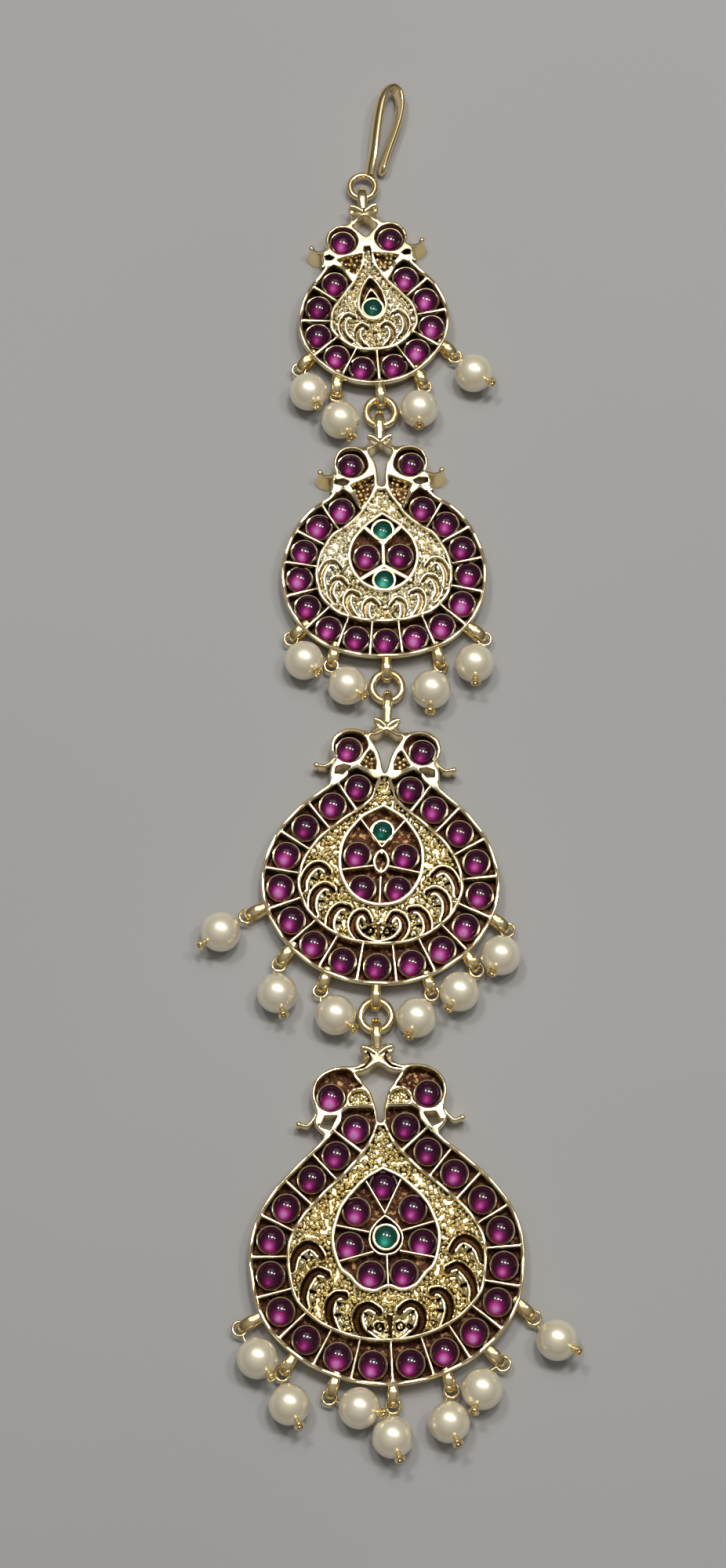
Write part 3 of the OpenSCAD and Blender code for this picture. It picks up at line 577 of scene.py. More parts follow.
def mix(nt, fac, a, b, kind="MIX"):
    m = node(nt, "ShaderNodeMix", data_type="RGBA", blend_type=kind)
    for s, v in ((0, fac), (6, a), (7, b)):
        if isinstance(v, (int, float)):
            m.inputs[s].default_value = v
        elif isinstance(v, tuple):
            m.inputs[s].default_value = (*v, 1)
        else:
            nt.links.new(v, m.inputs[s])
    return m.outputs[2]


def gold(name, light, dark, crevice, rough=(0.14, 0.3), grain=0.12, cav=(0.2, 0.8), lump_=0.0, speck=None, coat=0.25):
    """Cast gold: tone drifts a little, crevices, corners and the foot near the floor get a painted shade from ambient
    occlusion and a per-point shade value, fine casting grain.
    """
    m, nt, b = tree(name)
    b.inputs["Metallic"].default_value = 1.0
    n1 = noise(nt, 260, 4)
    tone = ramp(nt, n1.outputs[0], [(0.35, dark), (0.65, light)])
    at = node(nt, "ShaderNodeAttribute", attribute_name="painted_shade", attribute_type="GEOMETRY")
    # painted shade: the occlusion measure and the per-point shade value pull the colour towards the crevice colour
    ao = node(nt, "ShaderNodeAmbientOcclusion", samples=8, i_Distance=0.0011)
    occ = ramp(nt, ao.outputs["AO"], [(cav[0], (1, 1, 1)), (cav[1], (0, 0, 0))])
    mx = node(nt, "ShaderNodeMath", operation="MAXIMUM")
    nt.links.new(occ.outputs[0], mx.inputs[0])
    nt.links.new(at.outputs["Fac"], mx.inputs[1])
    base = tone.outputs[0]
    if speck:
        n4 = noise(nt, 1700, 2)
        base = mix(nt, ramp(nt, n4.outputs[0], [(0.55, (0, 0, 0)), (0.62, (1, 1, 1))]).outputs[0], base, speck)
    col = mix(nt, mx.outputs[0], base, crevice)
    nt.links.new(col, b.inputs["Base Color"])
    n2 = noise(nt, 900, 3)
    rr = node(nt, "ShaderNodeMapRange", i_To_Min=rough[0], i_To_Max=rough[1])
    nt.links.new(n2.outputs[0], rr.inputs[0])
    nt.links.new(rr.outputs[0], b.inputs["Roughness"])
    src = n2.outputs[0]
    if lump_:
        n3 = noise(nt, 1500, 2)
        add = node(nt, "ShaderNodeMath", operation="MULTIPLY_ADD")
        add.inputs[1].default_value = lump_
        nt.links.new(n3.outputs[0], add.inputs[0])
        nt.links.new(n2.outputs[0], add.inputs[2])
        src = add.outputs[0]
    bp = bump(nt, src, grain, 0.0002)
    nt.links.new(bp.outputs[0], b.inputs["Normal"])
    b.inputs["Coat Weight"].default_value = coat
    b.inputs["Coat Roughness"].default_value = 0.16
    return m


def foil():
    """Crinkled pale foil of the seats under the stones."""
    m, nt, b = tree("seat_foil")
    b.inputs["Metallic"].default_value = 0.2
    b.inputs["Roughness"].default_value = 0.45
    n1 = noise(nt, 1300, 2)
    tone = ramp(nt, n1.outputs[0], [(0.38, (0.86, 0.8, 0.85)), (0.62, (1.0, 0.98, 1.0))])
    nt.links.new(tone.outputs[0], b.inputs["Base Color"])
    bp = bump(nt, n1.outputs[0], 0.7, 0.0003)
    nt.links.new(bp.outputs[0], b.inputs["Normal"])
    return m


def gem(name, tones, ior, clear):
    """Foiled cabochon: a painted glow on one side fading to painted shade on the other, with faint silk, and each stone
    differs.
    """
    m, nt, b = tree(name)
    geo = node(nt, "ShaderNodeNewGeometry")
    n1 = noise(nt, 420, 3)
    # painted glow and shade: the per-point shade value, shifted per stone, picks the tone from bright to near black
    at = node(nt, "ShaderNodeAttribute", attribute_name="painted_shade", attribute_type="GEOMETRY")
    add = node(nt, "ShaderNodeMath", operation="MULTIPLY_ADD")
    add.inputs[1].default_value = 0.24
    nt.links.new(geo.outputs["Random Per Island"], add.inputs[0])
    nt.links.new(at.outputs["Fac"], add.inputs[2])
    silk = node(nt, "ShaderNodeMath", operation="MULTIPLY_ADD")
    silk.inputs[1].default_value = 0.4
    nt.links.new(n1.outputs[0], silk.inputs[0])
    nt.links.new(add.outputs[0], silk.inputs[2])
    col = ramp(nt, silk.outputs[0], list(zip((0.34, 0.47, 0.63, 0.82, 1.0), tones)))
    nt.links.new(col.outputs[0], b.inputs["Base Color"])
    b.inputs["Roughness"].default_value = 0.0
    b.inputs["IOR"].default_value = ior
    b.inputs["Transmission Weight"].default_value = clear
    bp = bump(nt, n1.outputs[0], 0.01, 0.0002)
    nt.links.new(bp.outputs[0], b.inputs["Normal"])
    return m


def pearl_mat():
    m, nt, b = tree("pearl")
    n1 = noise(nt, 120, 2)
    col = ramp(nt, n1.outputs[0], [(0.3, (0.9, 0.83, 0.61)), (0.55, (0.95, 0.88, 0.69)), (0.75, (0.93, 0.85, 0.64))])
    nt.links.new(col.outputs[0], b.inputs["Base Color"])
    b.inputs["Metallic"].default_value = 0.45
    b.inputs["Roughness"].default_value = 0.33
    b.inputs["Specular IOR Level"].default_value = 0.8
    b.inputs["Coat Weight"].default_value = 0.9
    b.inputs["Coat Roughness"].default_value = 0.07
    n2 = noise(nt, 700, 2)
    bp = bump(nt, n2.outputs[0], 0.04, 0.0002)
    nt.links.new(bp.outputs[0], b.inputs["Normal"])
    return m


# the third colour of each gold is its painted shade in crevices, corners and near the floor
GOLD = gold("gold_polished", (1.0, 0.89, 0.6), (0.95, 0.79, 0.45), (0.16, 0.07, 0.025), rough=(0.17, 0.28), cav=(0.12, 0.6), grain=0.1)
# near-black gold of the recess floors: a painted shade, with small gold specks
FLOORG = gold("gold_recess_painted_shade", (0.05, 0.022, 0.012), (0.022, 0.008, 0.006), (0.02, 0.007, 0.005), rough=(0.34, 0.5), grain=0.6, cav=(0.1, 0.8), lump_=1.0, speck=(0.24, 0.14, 0.06), coat=0.0)
FIELDG = gold("gold_granules", (1.0, 0.89, 0.56), (0.94, 0.79, 0.42), (0.02, 0.008, 0.003), rough=(0.17, 0.28), grain=0.05, cav=(0.06, 0.45), coat=0.0)
PALEG = gold("gold_granules_pale", (1.0, 0.96, 0.78), (0.98, 0.9, 0.64), (0.2, 0.14, 0.06), rough=(0.16, 0.28), grain=0.05, cav=(0.03, 0.32), coat=0.0)
PING = gold("gold_wire", (0.97, 0.81, 0.46), (0.9, 0.7, 0.34), (0.2, 0.09, 0.03), rough=(0.06, 0.15), cav=(0.0, 0.35), coat=0.1)
FACET = gold("gold_facets", (0.94, 0.76, 0.36), (0.86, 0.64, 0.24), (0.3, 0.15, 0.04), rough=(0.12, 0.25), grain=0.3, cav=(0.05, 0.4), lump_=0.6)
RUBY = gem("ruby", [(1.0, 0.44, 0.94), (0.95, 0.1, 0.63), (0.36, 0.008, 0.19), (0.085, 0.001, 0.045), (0.04, 0.0005, 0.022)], 1.54, 0.4)
EMER = gem("emerald", [(0.3, 1.0, 0.8), (0.1, 0.8, 0.58), (0.012, 0.42, 0.3), (0.003, 0.2, 0.14), (0.001, 0.1, 0.07)], 1.52, 0.5)
PEARL = pearl_mat()
SHINE = gold("gold_bright", (1.0, 0.89, 0.6), (0.96, 0.81, 0.48), (0.2, 0.09, 0.03), rough=(0.07, 0.15), cav=(0.0, 0.22), grain=0.12, coat=0.1)
MATS = [GOLD, FLOORG, FIELDG, PING, FACET, foil(), SHINE, PALEG]


# ---------------------------------------------------------------- plates
def bar_prof(w, h, r=0.12):
    p = [(-w / 2, 0), (w / 2, 0)]
    for i in range(4):
        a = math.radians(90 * i / 3)
        p.append((w / 2 - r + r * math.cos(a), h - r + r * math.sin(a)))
    for i in range(4):
        a = math.radians(90 + 90 * i / 3)
        p.append((-w / 2 + r + r * math.cos(a), h - r + r * math.sin(a)))
    return p


def both(mk, fn):
    fn(1)
    fn(-1)


# hollow along each arm of the crest of the lowest plate
CHANNEL = [(1.45, 25.5), (1.2, 25.2), (1.12, 24.8), (1.3, 24.35), (1.8, 23.88), (2.4, 23.6), (2.95, 23.48), (2.9, 23.3),
           (2.3, 23.35), (1.65, 23.5), (1.1, 23.92), (0.78, 24.45), (0.72, 25.0), (0.88, 25.4), (1.15, 25.65)]


def make_plate(k):
    mk = Maker()
    b = band(k)
    rim = outline(k)
    nrim = len(rim) - 2 * (len(smooth(CREST[k], 5)))
    rad = np.full(len(rim), 0.3)
    rad[:nrim] = 0.25
    deep = np.full(len(rim), 0.5)
    deep[3:nrim - 3] = 1.0
    for _ in range(4):
        deep = (np.roll(deep, 1) + deep + np.roll(deep, -1)) / 3
    if area(rim) < 0:
        rim, rad, deep = rim[::-1], rad[::-1], deep[::-1]
    yc = CREST[k][-1][1]
    sink = lambda q, d: d * min(1, max(0, (q[1] - yc + 2.3) / 0.9))
    loops = [(rim, rad, 0.0, [sink(q, 0.5) for q in rim], 0)]
    kinds = [None]
    for i in range(2, last(k) + 1):
        c = ccw(even(cell(k, i), 0.3), False)
        mid = cr(b, i)
        # the walls between cells stand a little lower than the rim
        way = unit(cr(b, i + 0.05) - cr(b, i - 0.05))
        drop = [0.04 + 0.13 * min(1, max(0, (abs(float(np.dot(way, vec(q) - mid))) - 1.0) / 0.5)) for q in c]
        loops.append((c, 0.13, FLOOR, drop, 0.16))
        kinds.append(1)
    loops.append((ccw(field(k), False), 0.16, FLOOR, None, 0))
    kinds.append(1)
    gap = GAP[k] + [tuple(q) for q in flip(GAP[k][1:-1])[::-1]]
    gap = ccw(closed(gap, 4), False)
    loops.append((gap, 0.26, 0.0, [sink(q, 0.35) for q in gap], 0))
    kinds.append(0)
    for sgn in (1, -1):
        fx = (lambda p: [vec(q) for q in p]) if sgn > 0 else flip
        loops.append((ccw(closed(fx(HEAD[k]), 4), False), 0.18, FLOOR, None, 0.1))
        kinds.append(1)
        loops.append((ccw(even(fx(NECK[k]), 0.3), False), 0.18, NECK_LOW[k], None, 0.1))
        kinds.append(2)
        loops.append((ccw(even(fx(WINDOW[k]), 0.2), False), 0.16, 0.0, None, 0))
        kinds.append(0)
    if k == 3:
        for sgn in (1, -1):
            fx = (lambda p: [vec(q) for q in p]) if sgn > 0 else flip
            c = ccw([tuple(q) for q in inset(ccw(closed(fx(CHANNEL), 4)), 0.05)], False)
            loops.append((c, 0.05, 2.25, [sink(q, 0.3) for q in c], 0))
            kinds.append(3)
    # the sides fall back under a lip
    feet = land(mk, loops, 3.0, 0, foot=[(0.5 * deep, 0), (0.4 * deep, 0.12), (0.36 * deep, 1.75), (0.06 * deep, 2.1), (0.0 * deep, 2.25)])
    # the floors of cells, heads and channels, and of the necks except on the lowest plate, take the near-black recess
    # gold: a painted shade
    for q, kind in zip(feet, kinds):
        if kind == 1:
            fill(mk, [q[::-1]], FLOOR, 1)
        elif kind == 3:
            fill(mk, [q[::-1]], 2.25, 1)
        elif kind == 2:
            fill(mk, [q[::-1]], NECK_LOW[k], 2 if k == 3 else 1)
            pebbles(mk, q, NECK_LOW[k], 70 + k, 1.0 if k == 3 else 1.25)
    fill(mk, [feet[0]] + [q for q, kind in zip(feet, kinds) if kind == 0], 0.0, 0, down=True)
    # medallion wall and what stands in it
    mo, mi = ccw(med(k, 0)), ccw(med(k, MED_W), False)
    ft = land(mk, [(mo, 0.18, 1.0, None, 0), (mi, 0.16, 1.0, None, 0.1)], 2.97, 0)
    fill(mk, ft, 1.0, 0, down=True)
    w = 0.6 if k == 1 else BAR_W
    for p, q in MED_BAR[k]:
        for sgn in ((1, -1) if abs(p[0]) + abs(q[0]) > 0 else (1,)):
            line = even([(sgn * p[0], p[1]), (sgn * q[0], q[1])], 0.4, False)
            sweep(mk, [(a[0], a[1], 1.0 + 0.6 * uneven(a[0], a[1])) for a in line], bar_prof(w, 1.85, 0.15))
    if k == 1:
        sweep(mk, [(0, 1.2, 1.0), (0, 4.45, 1.0)], bar_prof(0.6, 1.88, 0.2))
    if k == 2:
        eye_wall(mk, [(0, 0.95), (0.75, 1.5), (1.12, 2.6), (0.75, 3.75), (0, 4.35)], 0.45, 2.9, 1.6)
    if k == 3:
        eye_wall(mk, [(0, 0.38), (1.15, 0.72), (1.95, 1.6), (2.15, 2.65), (1.85, 3.7), (1.05, 4.7), (0, 5.5)], 0.3, 2.85, 1.5)
    if k == 0:
        eye_wall(mk, [(0, 0.2), (0.85, 0.45), (1.35, 1.15), (1.42, 1.9), (1.1, 2.9), (0.6, 3.9), (0, 4.75)], 0.26, 2.6, 1.5)
    # beaks
    for sgn in (1, -1):
        z0, z1 = BEAK_Z[k]
        path = [(sgn * q[0], q[1], z0) for q in smooth(BEAK[k], 5)]
        h = z1 - z0
        if k < 2:
            prof = [(-0.25, 0), (0.85, 0), (0.8, 0.5), (0.45, 1.5), (0.28, 2.2), (0.25, h - 0.25), (0.17, h - 0.07), (0, h), (-0.17, h - 0.07), (-0.25, h - 0.25)]
            if sgn < 0:
                prof = [(-a, c) for a, c in prof][::-1]
        else:
            prof = bar_prof(0.52, h, 0.25)
        sweep(mk, path, prof, mat=3 if k < 2 else 6)
        e = path[-1]
        lathe(mk, [(0, z0), (0.3, z0), (0.38, z0 + 0.2), (0.4, z1 - 0.35), (0.34, z1 - 0.14), (0.2, z1 - 0.01), (0, z1 + 0.03)], (e[0], e[1], 0), n=24)
        # scrolled end of the crest
        y = CREST[k][-1][1]
        g = (CREST[k][-3][0] + 0.35) / 2.45
        arm = [(2.02, y - 0.3), (1.55, y - 0.36), (1.0, y - 0.55), (0.55, y - 0.85), (0.12, y - 1.15)]
        arm = [(sgn * q[0] * g, q[1], 2.78) for q in arm]
        sweep(mk, smooth(arm, 5), circle(0.34, 16), mat=6, scale=lambda t: 0.45 + 0.55 * math.sqrt(min(1.0, 12 * t)) if t < 0.1 else 1.0)
    # link eyelets
    for base, ln, way in ((TIE[k][0], TIE[k][1], -1), (TIE[k][2], TIE[k][3], 1)):
        if ln:
            strap(mk, (0, base, 1.5), 90 * way, ln, 2.9, 1.25, 0.55)
    for d in DROP:
        if d[0] == k:
            strap(mk, (d[1], d[2], 1.3), d[3], d[4], 2.5, 1.32, 0.5)
    # collars
    for q in ruby_places(k):
        collar(mk, q, RUBY_D)
    for q in MED_EM[k]:
        collar(mk, q, EM_D[k], 0.36, 2.98 if k < 2 else 2.75)
    field_relief(mk, k)
    return mk.object(f"plate_{k + 1}_cast", MATS, PLATE[k])


def pebbles(mk, loop, z, seed, apart):
    """Granules packed on the floor of a recess."""
    rnd = random.Random(seed)
    P = np.array(loop)[:, :2]
    lo, hi = P.min(0), P.max(0)
    got = []
    for _ in range(900):
        x, y, r = rnd.uniform(lo[0], hi[0]), rnd.uniform(lo[1], hi[1]), rnd.uniform(0.22, 0.38)
        if not inside(loop, np.array([[x]]), np.array([[y]]))[0, 0]:
            continue
        if any((x - a) ** 2 + (y - c) ** 2 < (0.8 * apart * (r + t)) ** 2 for a, c, t in got):
            continue
        got.append((x, y, r))
        ball(mk, (x, y, z - 0.02), r, 2, n=14, squash=1.2)


def eye_wall(mk, half, w, top, low):
    """Thin pointed wall round a stone or a hollow; half: its right half from the bottom up."""
    o = smooth(half, 5)
    o = o + flip(o[1:-1])[::-1]
    o = ccw(o)
    i = ccw([tuple(q) for q in inset(o, w)], False)
    ft = land(mk, [(o, w * 0.4, 1.0, None, 0), (i, w * 0.4, 1.0, None, 0)], top, 0, steps=3)
    fill(mk, ft, 1.0, 0, down=True)


def strap(mk, base, turn, ln, h, w, t):
    """Rounded eyelet that stands on edge: a loop of half-round strap, widest near its end."""
    a = math.radians(turn)
    e = vec((math.cos(a), math.sin(a), 0))
    side = vec((-math.sin(a), math.cos(a), 0))
    r = h / 2 - t / 2
    arc = 0.6 * ln
    c = vec(base) + e * (ln - t / 2 - arc)
    up = vec((0, 0, r))
    P = [vec(base) - e * 0.44 - up * 0.86, c - e * 0.15 - up * 0.98]
    P += [c + e * arc * math.cos(math.radians(b)) + up * math.sin(math.radians(b)) for b in range(-90, 91, 10)]
    P += [c - e * 0.15 + up * 0.98, vec(base) - e * 0.44 + up * 0.86]
    n = len(P)
    v, f = [], []
    m = 16
    for i, q in enumerate(P):
        d = unit(P[min(i + 1, n - 1)] - P[max(i - 1, 0)])
        o = np.cross(d, side)
        if np.dot(o, q - (c if 2 <= i < n - 2 else vec((q[0], q[1], base[2])))) < 0:
            o = -o
        far = float(np.dot(q - vec(base), e)) / ln
        wd = w / 2 * (0.82 + 0.26 * math.sin(math.pi * min(1, max(0, far))))
        for j in range(m):
            b = 2 * math.pi * j / m
            x, z = math.cos(b), math.sin(b)
            # fuller outside, flatter inside
            v.append(q + side * wd * x + o * (t * 0.5 * z if z > 0 else t * 0.42 * z))
    for i in range(n - 1):
        for j in range(m):
            j2 = (j + 1) % m
            f.append((i * m + j, (i + 1) * m + j, (i + 1) * m + j2, i * m + j2))
    f.append(tuple(range(m)))
    f.append(tuple(range((n - 1) * m, n * m))[::-1])
    # outward faces whichever way the loop turns
    vol = sum(float(np.dot(v[q[0]] - base, np.cross(v[q[1]] - base, v[q[2]] - base))) for g in f for q in [(g[0], g[i], g[i + 1]) for i in range(1, len(g) - 1)])
    mk.add(v, f if vol > 0 else [q[::-1] for q in f], 3)


def collar(mk, q, d, wide=0.23, z=2.12):
    r = d / 2 + 0.03
    o = r + wide + 0.03
    # the seat under the stone is foiled
    lathe(mk, [(0, 1.1), (r * 0.25, 1.1), (r * 0.5, 1.1), (r * 0.72, 1.1), (r * 0.84, 1.18), (r * 0.93, 1.32), (r, 1.75)][::-1],
          (q[0], q[1], 0), n=44, mat=5)
    lathe(mk, [(r, 1.75), (r, z - 0.12), (r + 0.05, z - 0.02), (r + 0.12, z), (o - 0.1, z - 0.03),
               (o - 0.02, z - 0.14), (o + 0.04, 1.5), (o + 0.1, 0.8), (0, 0.8)][::-1], (q[0], q[1], 0), n=44, mat=6)


def ruby_places(k):
    h = list(BAND[k][:len(BAND[k]) - 2]) + [HEAD_RUBY[k]] + MED_RUBY[k]
    return h + [(-q[0], q[1]) for q in h if q[0] > 0]


def seg_dist(X, Y, line):
    """Distance of each grid point to a line, how far along it, and on which side."""
    best = np.full(X.shape, 1e9)
    along = np.zeros(X.shape)
    side = np.zeros(X.shape)
    total = sum(np.linalg.norm(vec(b) - vec(a)) for a, b in zip(line, line[1:]))
    s0 = 0.0
    for a, b in zip(line, line[1:]):
        a, b = vec(a), vec(b)
        L = np.linalg.norm(b - a)
        t = np.clip(((X - a[0]) * (b[0] - a[0]) + (Y - a[1]) * (b[1] - a[1])) / (L * L), 0, 1)
        dx, dy = X - (a[0] + t * (b[0] - a[0])), Y - (a[1] + t * (b[1] - a[1]))
        d = np.hypot(dx, dy)
        m = d < best
        best = np.where(m, d, best)
        along = np.where(m, (s0 + t * L) / total, along)
        side = np.where(m, np.sign((b[0] - a[0]) * dy - (b[1] - a[1]) * dx), side)
        s0 += L
    return best, along, side


def field_relief(mk, k):
    rnd = random.Random(40 + k)
    fo, mo = field(k, 0.14), med(k, 0.14)
    step = 0.1 if k > 1 else 0.085
    xs = [q[0] for q in fo]
    ys = [q[1] for q in fo]
    nx = int((max(xs) - min(xs)) / step) + 3
    ny = int((max(ys) - min(ys)) / step) + 3
    gx = min(xs) - step + step * np.arange(nx)
    gy = min(ys) - step + step * np.arange(ny)
    X, Y = np.meshgrid(gx, gy)
    Z = np.full(X.shape, FIELD - 0.1)
    scroll = np.full(X.shape, 9.0)
    # granules, packed at random
    pts = []
    tries = 0
    cells = {}
    while tries < 26000:
        tries += 1
        x, y, r = rnd.uniform(min(xs), max(xs)), rnd.uniform(min(ys), max(ys)), rnd.uniform(0.24, 0.42)
        key = (int(x // 0.7), int(y // 0.7))
        if any((x - a) ** 2 + (y - c) ** 2 < (0.86 * (r + s)) ** 2 for i in (-1, 0, 1) for j in (-1, 0, 1)
               for a, c, s in cells.get((key[0] + i, key[1] + j), ())):
            continue
        cells.setdefault(key, []).append((x, y, r))
        pts.append((x, y, r))
    G = np.full(X.shape, FIELD - 0.3)
    for x, y, r in pts:
        i0, j0 = int((y - r - gy[0]) / step), int((x - r - gx[0]) / step)
        n = int(2 * r / step) + 3
        sl = (slice(max(0, i0), i0 + n), slice(max(0, j0), j0 + n))
        d2 = (X[sl] - x) ** 2 + (Y[sl] - y) ** 2
        h = FIELD - 0.22 + np.sqrt(np.maximum(0, r * r - d2)) * 1.6
        G[sl] = np.maximum(G[sl], np.where(d2 < r * r, h, -9))
    # scrolls: a round ridge with a deep groove outside it and lobes inside
    S = np.full(X.shape, -9.0)
    groove = np.zeros(X.shape)
    keep = np.zeros(X.shape)
    smoothed = np.zeros(X.shape)
    size = 0.8 if k == 0 else 0.85 if k == 1 else 1.0
    for line0 in SCROLL[k]:
        for sgn in (1, -1):
            line = smooth([(sgn * q[0], q[1]) for q in line0], 6)
            d, s, side = seg_dist(X, Y, line)
            inner_side = side * sgn < 0
            gw = (0.24, 0.26, 0.29, 0.42)[k] * size * (0.45 + 0.6 * np.sin(np.pi * np.clip(0.12 + 0.8 * s, 0, 1)))
            groove = np.maximum(groove, np.clip((1.2 - d / gw) / 0.6, 0, 1))
            # ridge inside the groove
            rc = (0.56 if k == 3 else 0.48) * size * (0.6 + 0.7 * np.sin(np.pi * np.clip(0.15 + 0.8 * s, 0, 1)))
            dr = np.abs(d - rc)
            rw = 0.42 * size
            R = FIELD + 0.06 + 0.5 * size * np.sqrt(np.maximum(0, 1 - (dr / rw) ** 2))
            S = np.maximum(S, np.where(inner_side & (dr < rw), R, -9))
            # ridge outside it, thinner
            dr = np.abs(d - 0.52 * size)
            rw = 0.25 * size
            R = FIELD + 0.02 + 0.36 * size * np.sqrt(np.maximum(0, 1 - (dr / rw) ** 2))
            S = np.maximum(S, np.where(~inner_side & (dr < rw), R, -9))
            keep = np.maximum(keep, np.clip(1.6 - d / (0.62 * size), 0, 1))
            # the curled end closes on a round pit
            bx, by = sgn * (line0[0][0] - 0.05 * size), line0[0][1] - 0.22 * size
            groove = np.maximum(groove, np.clip((1.25 - np.hypot(X - bx, Y - by) / (0.32 * size)) / 0.5, 0, 1))
            # smooth ground with a row of lobes in the hollow of the curve
            turn = np.clip(1.5 - np.abs(d - 0.8 * size) / (0.75 * size), 0, 1) * inner_side * (s > 0.04) * (s < 0.97)
            smoothed = np.maximum(smoothed, np.clip(turn * 2, 0, 1))
            lobe = np.abs(np.sin(np.pi * (2.6 * s + 0.3)))
            w = np.clip(1 - np.abs(d - 1.12 * size) / (0.42 * size), 0, 1) * inner_side
            R = FIELD + 0.06 + 0.46 * size * np.sqrt(w) * lobe ** 0.6
            S = np.maximum(S, np.where((w > 0) & (s > 0.08) & (s < 0.95), R, -9))
            groove = np.maximum(groove, np.where((s > 0.1) & (s < 0.92), np.clip((0.36 - lobe) / 0.2, 0, 1) * np.clip(w * 3, 0, 1), 0) * (0.8 if k > 1 else 0.5))
    if k > 1:
        # small ringed buds at the foot of the middle scrolls
        for sgn in (1, -1):
            bx, by = sgn * (1.25 if k == 3 else 1.05), -8.0 if k == 3 else -6.3
            d2 = np.hypot((X - bx) * 1.15, Y - by)
            groove = np.maximum(groove, np.clip((1.25 - np.abs(d2 - 0.5) / 0.11) / 0.5, 0, 0.85))
    # stem between the two middle scrolls
    y0 = min(q[1] for q in SCROLL[k][0])
    h0 = max(q[1] for q in SCROLL[k][0])
    d = np.abs(X) - 0.42 * size * np.clip((Y - y0) / (h0 - y0), 0.15, 1)
    m = (Y > y0 + 0.6) & (Y < h0 - 1.2 * size) & (d < 0)
    groove = np.maximum(groove, np.where(m, 1.0, 0))
    flat = FIELD + 0.04 + 0.05 * np.sin(3.1 * X + 1.3 * Y) * np.sin(2.3 * Y - 1.1 * X)
    G = G * (1 - smoothed) + np.minimum(G, flat) * smoothed
    Z = np.maximum(G - 0.3 * keep * (1 - smoothed), S)
    Z = np.where(groove > 0, np.minimum(Z, Z * (1 - groove) + (FIELD - 0.62) * groove), Z)
    Z = np.clip(Z, 1.45, 2.86)
    ok = inside(fo, X, Y) & ~inside(mo, X, Y)
    # a cell is used when its four corners are inside
    use = ok[:-1, :-1] & ok[1:, :-1] & ok[:-1, 1:] & ok[1:, 1:]
    need = np.zeros(X.shape, bool)
    need[:-1, :-1] |= use
    need[1:, :-1] |= use
    need[:-1, 1:] |= use
    need[1:, 1:] |= use
    ids = -np.ones(X.shape, int)
    ids[need] = np.arange(need.sum())
    n = int(need.sum())
    v = np.stack([X[need], Y[need], Z[need]], 1)
    # painted shade: points lying below their smoothed surroundings, and the grooves, are darkened
    soft = Z.copy()
    for _ in range(4):
        soft = (np.roll(soft, 1, 0) + np.roll(soft, -1, 0) + np.roll(soft, 1, 1) + np.roll(soft, -1, 1)) / 4
    cav = np.clip((soft - Z) * (2.3 if k > 1 else 1.7) - 0.05 + groove * (0.8 if k < 2 else 1.15), 0, 1)
    f, edge = [], []
    I, J = np.nonzero(use)
    for i, j in zip(I.tolist(), J.tolist()):
        q = (int(ids[i, j]), int(ids[i, j + 1]), int(ids[i + 1, j + 1]), int(ids[i + 1, j]))
        f.append(q)
        if i == 0 or not use[i - 1, j]:
            edge.append((q[0], q[1]))
        if j == use.shape[1] - 1 or not use[i, j + 1]:
            edge.append((q[1], q[2]))
        if i == use.shape[0] - 1 or not use[i + 1, j]:
            edge.append((q[2], q[3]))
        if j == 0 or not use[i, j - 1]:
            edge.append((q[3], q[0]))
    # skirt down to a flat bottom
    on = sorted({a for e in edge for a in e})
    at = {a: n + i for i, a in enumerate(on)}
    low = [(v[a][0], v[a][1], 1.0) for a in on]
    f += [(b, a, at[a], at[b]) for a, b in edge]
    # the skirt and the flat bottom get full painted shade
    mk.add(list(v) + low, f, 7 if k < 2 else 2, list(cav[need]) + [1.0] * len(low))
    V, _, F, ov, _, _ = delaunay_2d_cdt([Vector((float(v[a][0]), float(v[a][1]))) for a in on],
                                        [(at[a] - n, at[b] - n) for a, b in edge], [], 0, 1e-6)
    c = np.array([[sum(V[i][a] for i in t) / len(t) for a in (0, 1)] for t in F])
    ci = ((c[:, 1] - gy[0]) // step).astype(int)
    cj = ((c[:, 0] - gx[0]) // step).astype(int)
    fl = [tuple(t)[::-1] for t, a, b in zip(F, ci, cj) if use[a, b]]
    mk.add([(v[on[o[0]]][0], v[on[o[0]]][1], 1.0) for o in ov], fl, 7 if k < 2 else 2, [1.0] * len(V))


def stones(name, places, d, mat, k, girdle=2.14):
    mk = Maker()
    r, lo = d / 2, FLOOR + 0.07
    h = TOP_Z - 0.02 - girdle
    prof = [(0, lo), (r * 0.72, lo), (r * 0.9, lo + 0.25), (r, lo + 0.7)]
    n = 16
    for i in range(n + 1):
        a = math.pi / 2 * i / n
        prof.append((r * math.cos(a) if i < n else 0, girdle + h * math.sin(a)))
    for q in places:
        # painted glow in a spot towards the foot of the plate and underneath, painted shade growing away from it; two
        # green stones are darker
        more = 0.3 if mat is EMER and k in (0, 2) else 0.0
        deep = lambda v: 0.0 if v[2] < girdle - 0.05 else min(1.0, more + math.hypot(v[0] - q[0] + 0.2 * r, v[1] - q[1] + 0.62 * r) / (1.35 * r))
        lathe(mk, prof, (q[0], q[1], 0), n=48, cav=deep)
    return mk.object(name, [mat], PLATE[k], angle=60)


pieces = []


def own(o, slot, *nodes):
    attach(o, "root")
    if nodes:
        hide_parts(*nodes)
    pieces.append(o)


for k in range(4):
    own(make_plate(k), "gold", f"plate_{k + 1}")
    own(stones(f"ruby_stones_{k + 1}", ruby_places(k), RUBY_D, RUBY, k), "ruby", f"rubies_{k + 1}")
    own(stones(f"emerald_stones_{k + 1}", MED_EM[k], EM_D[k], EMER, k, 2.55), "emerald", f"emeralds_{k + 1}")


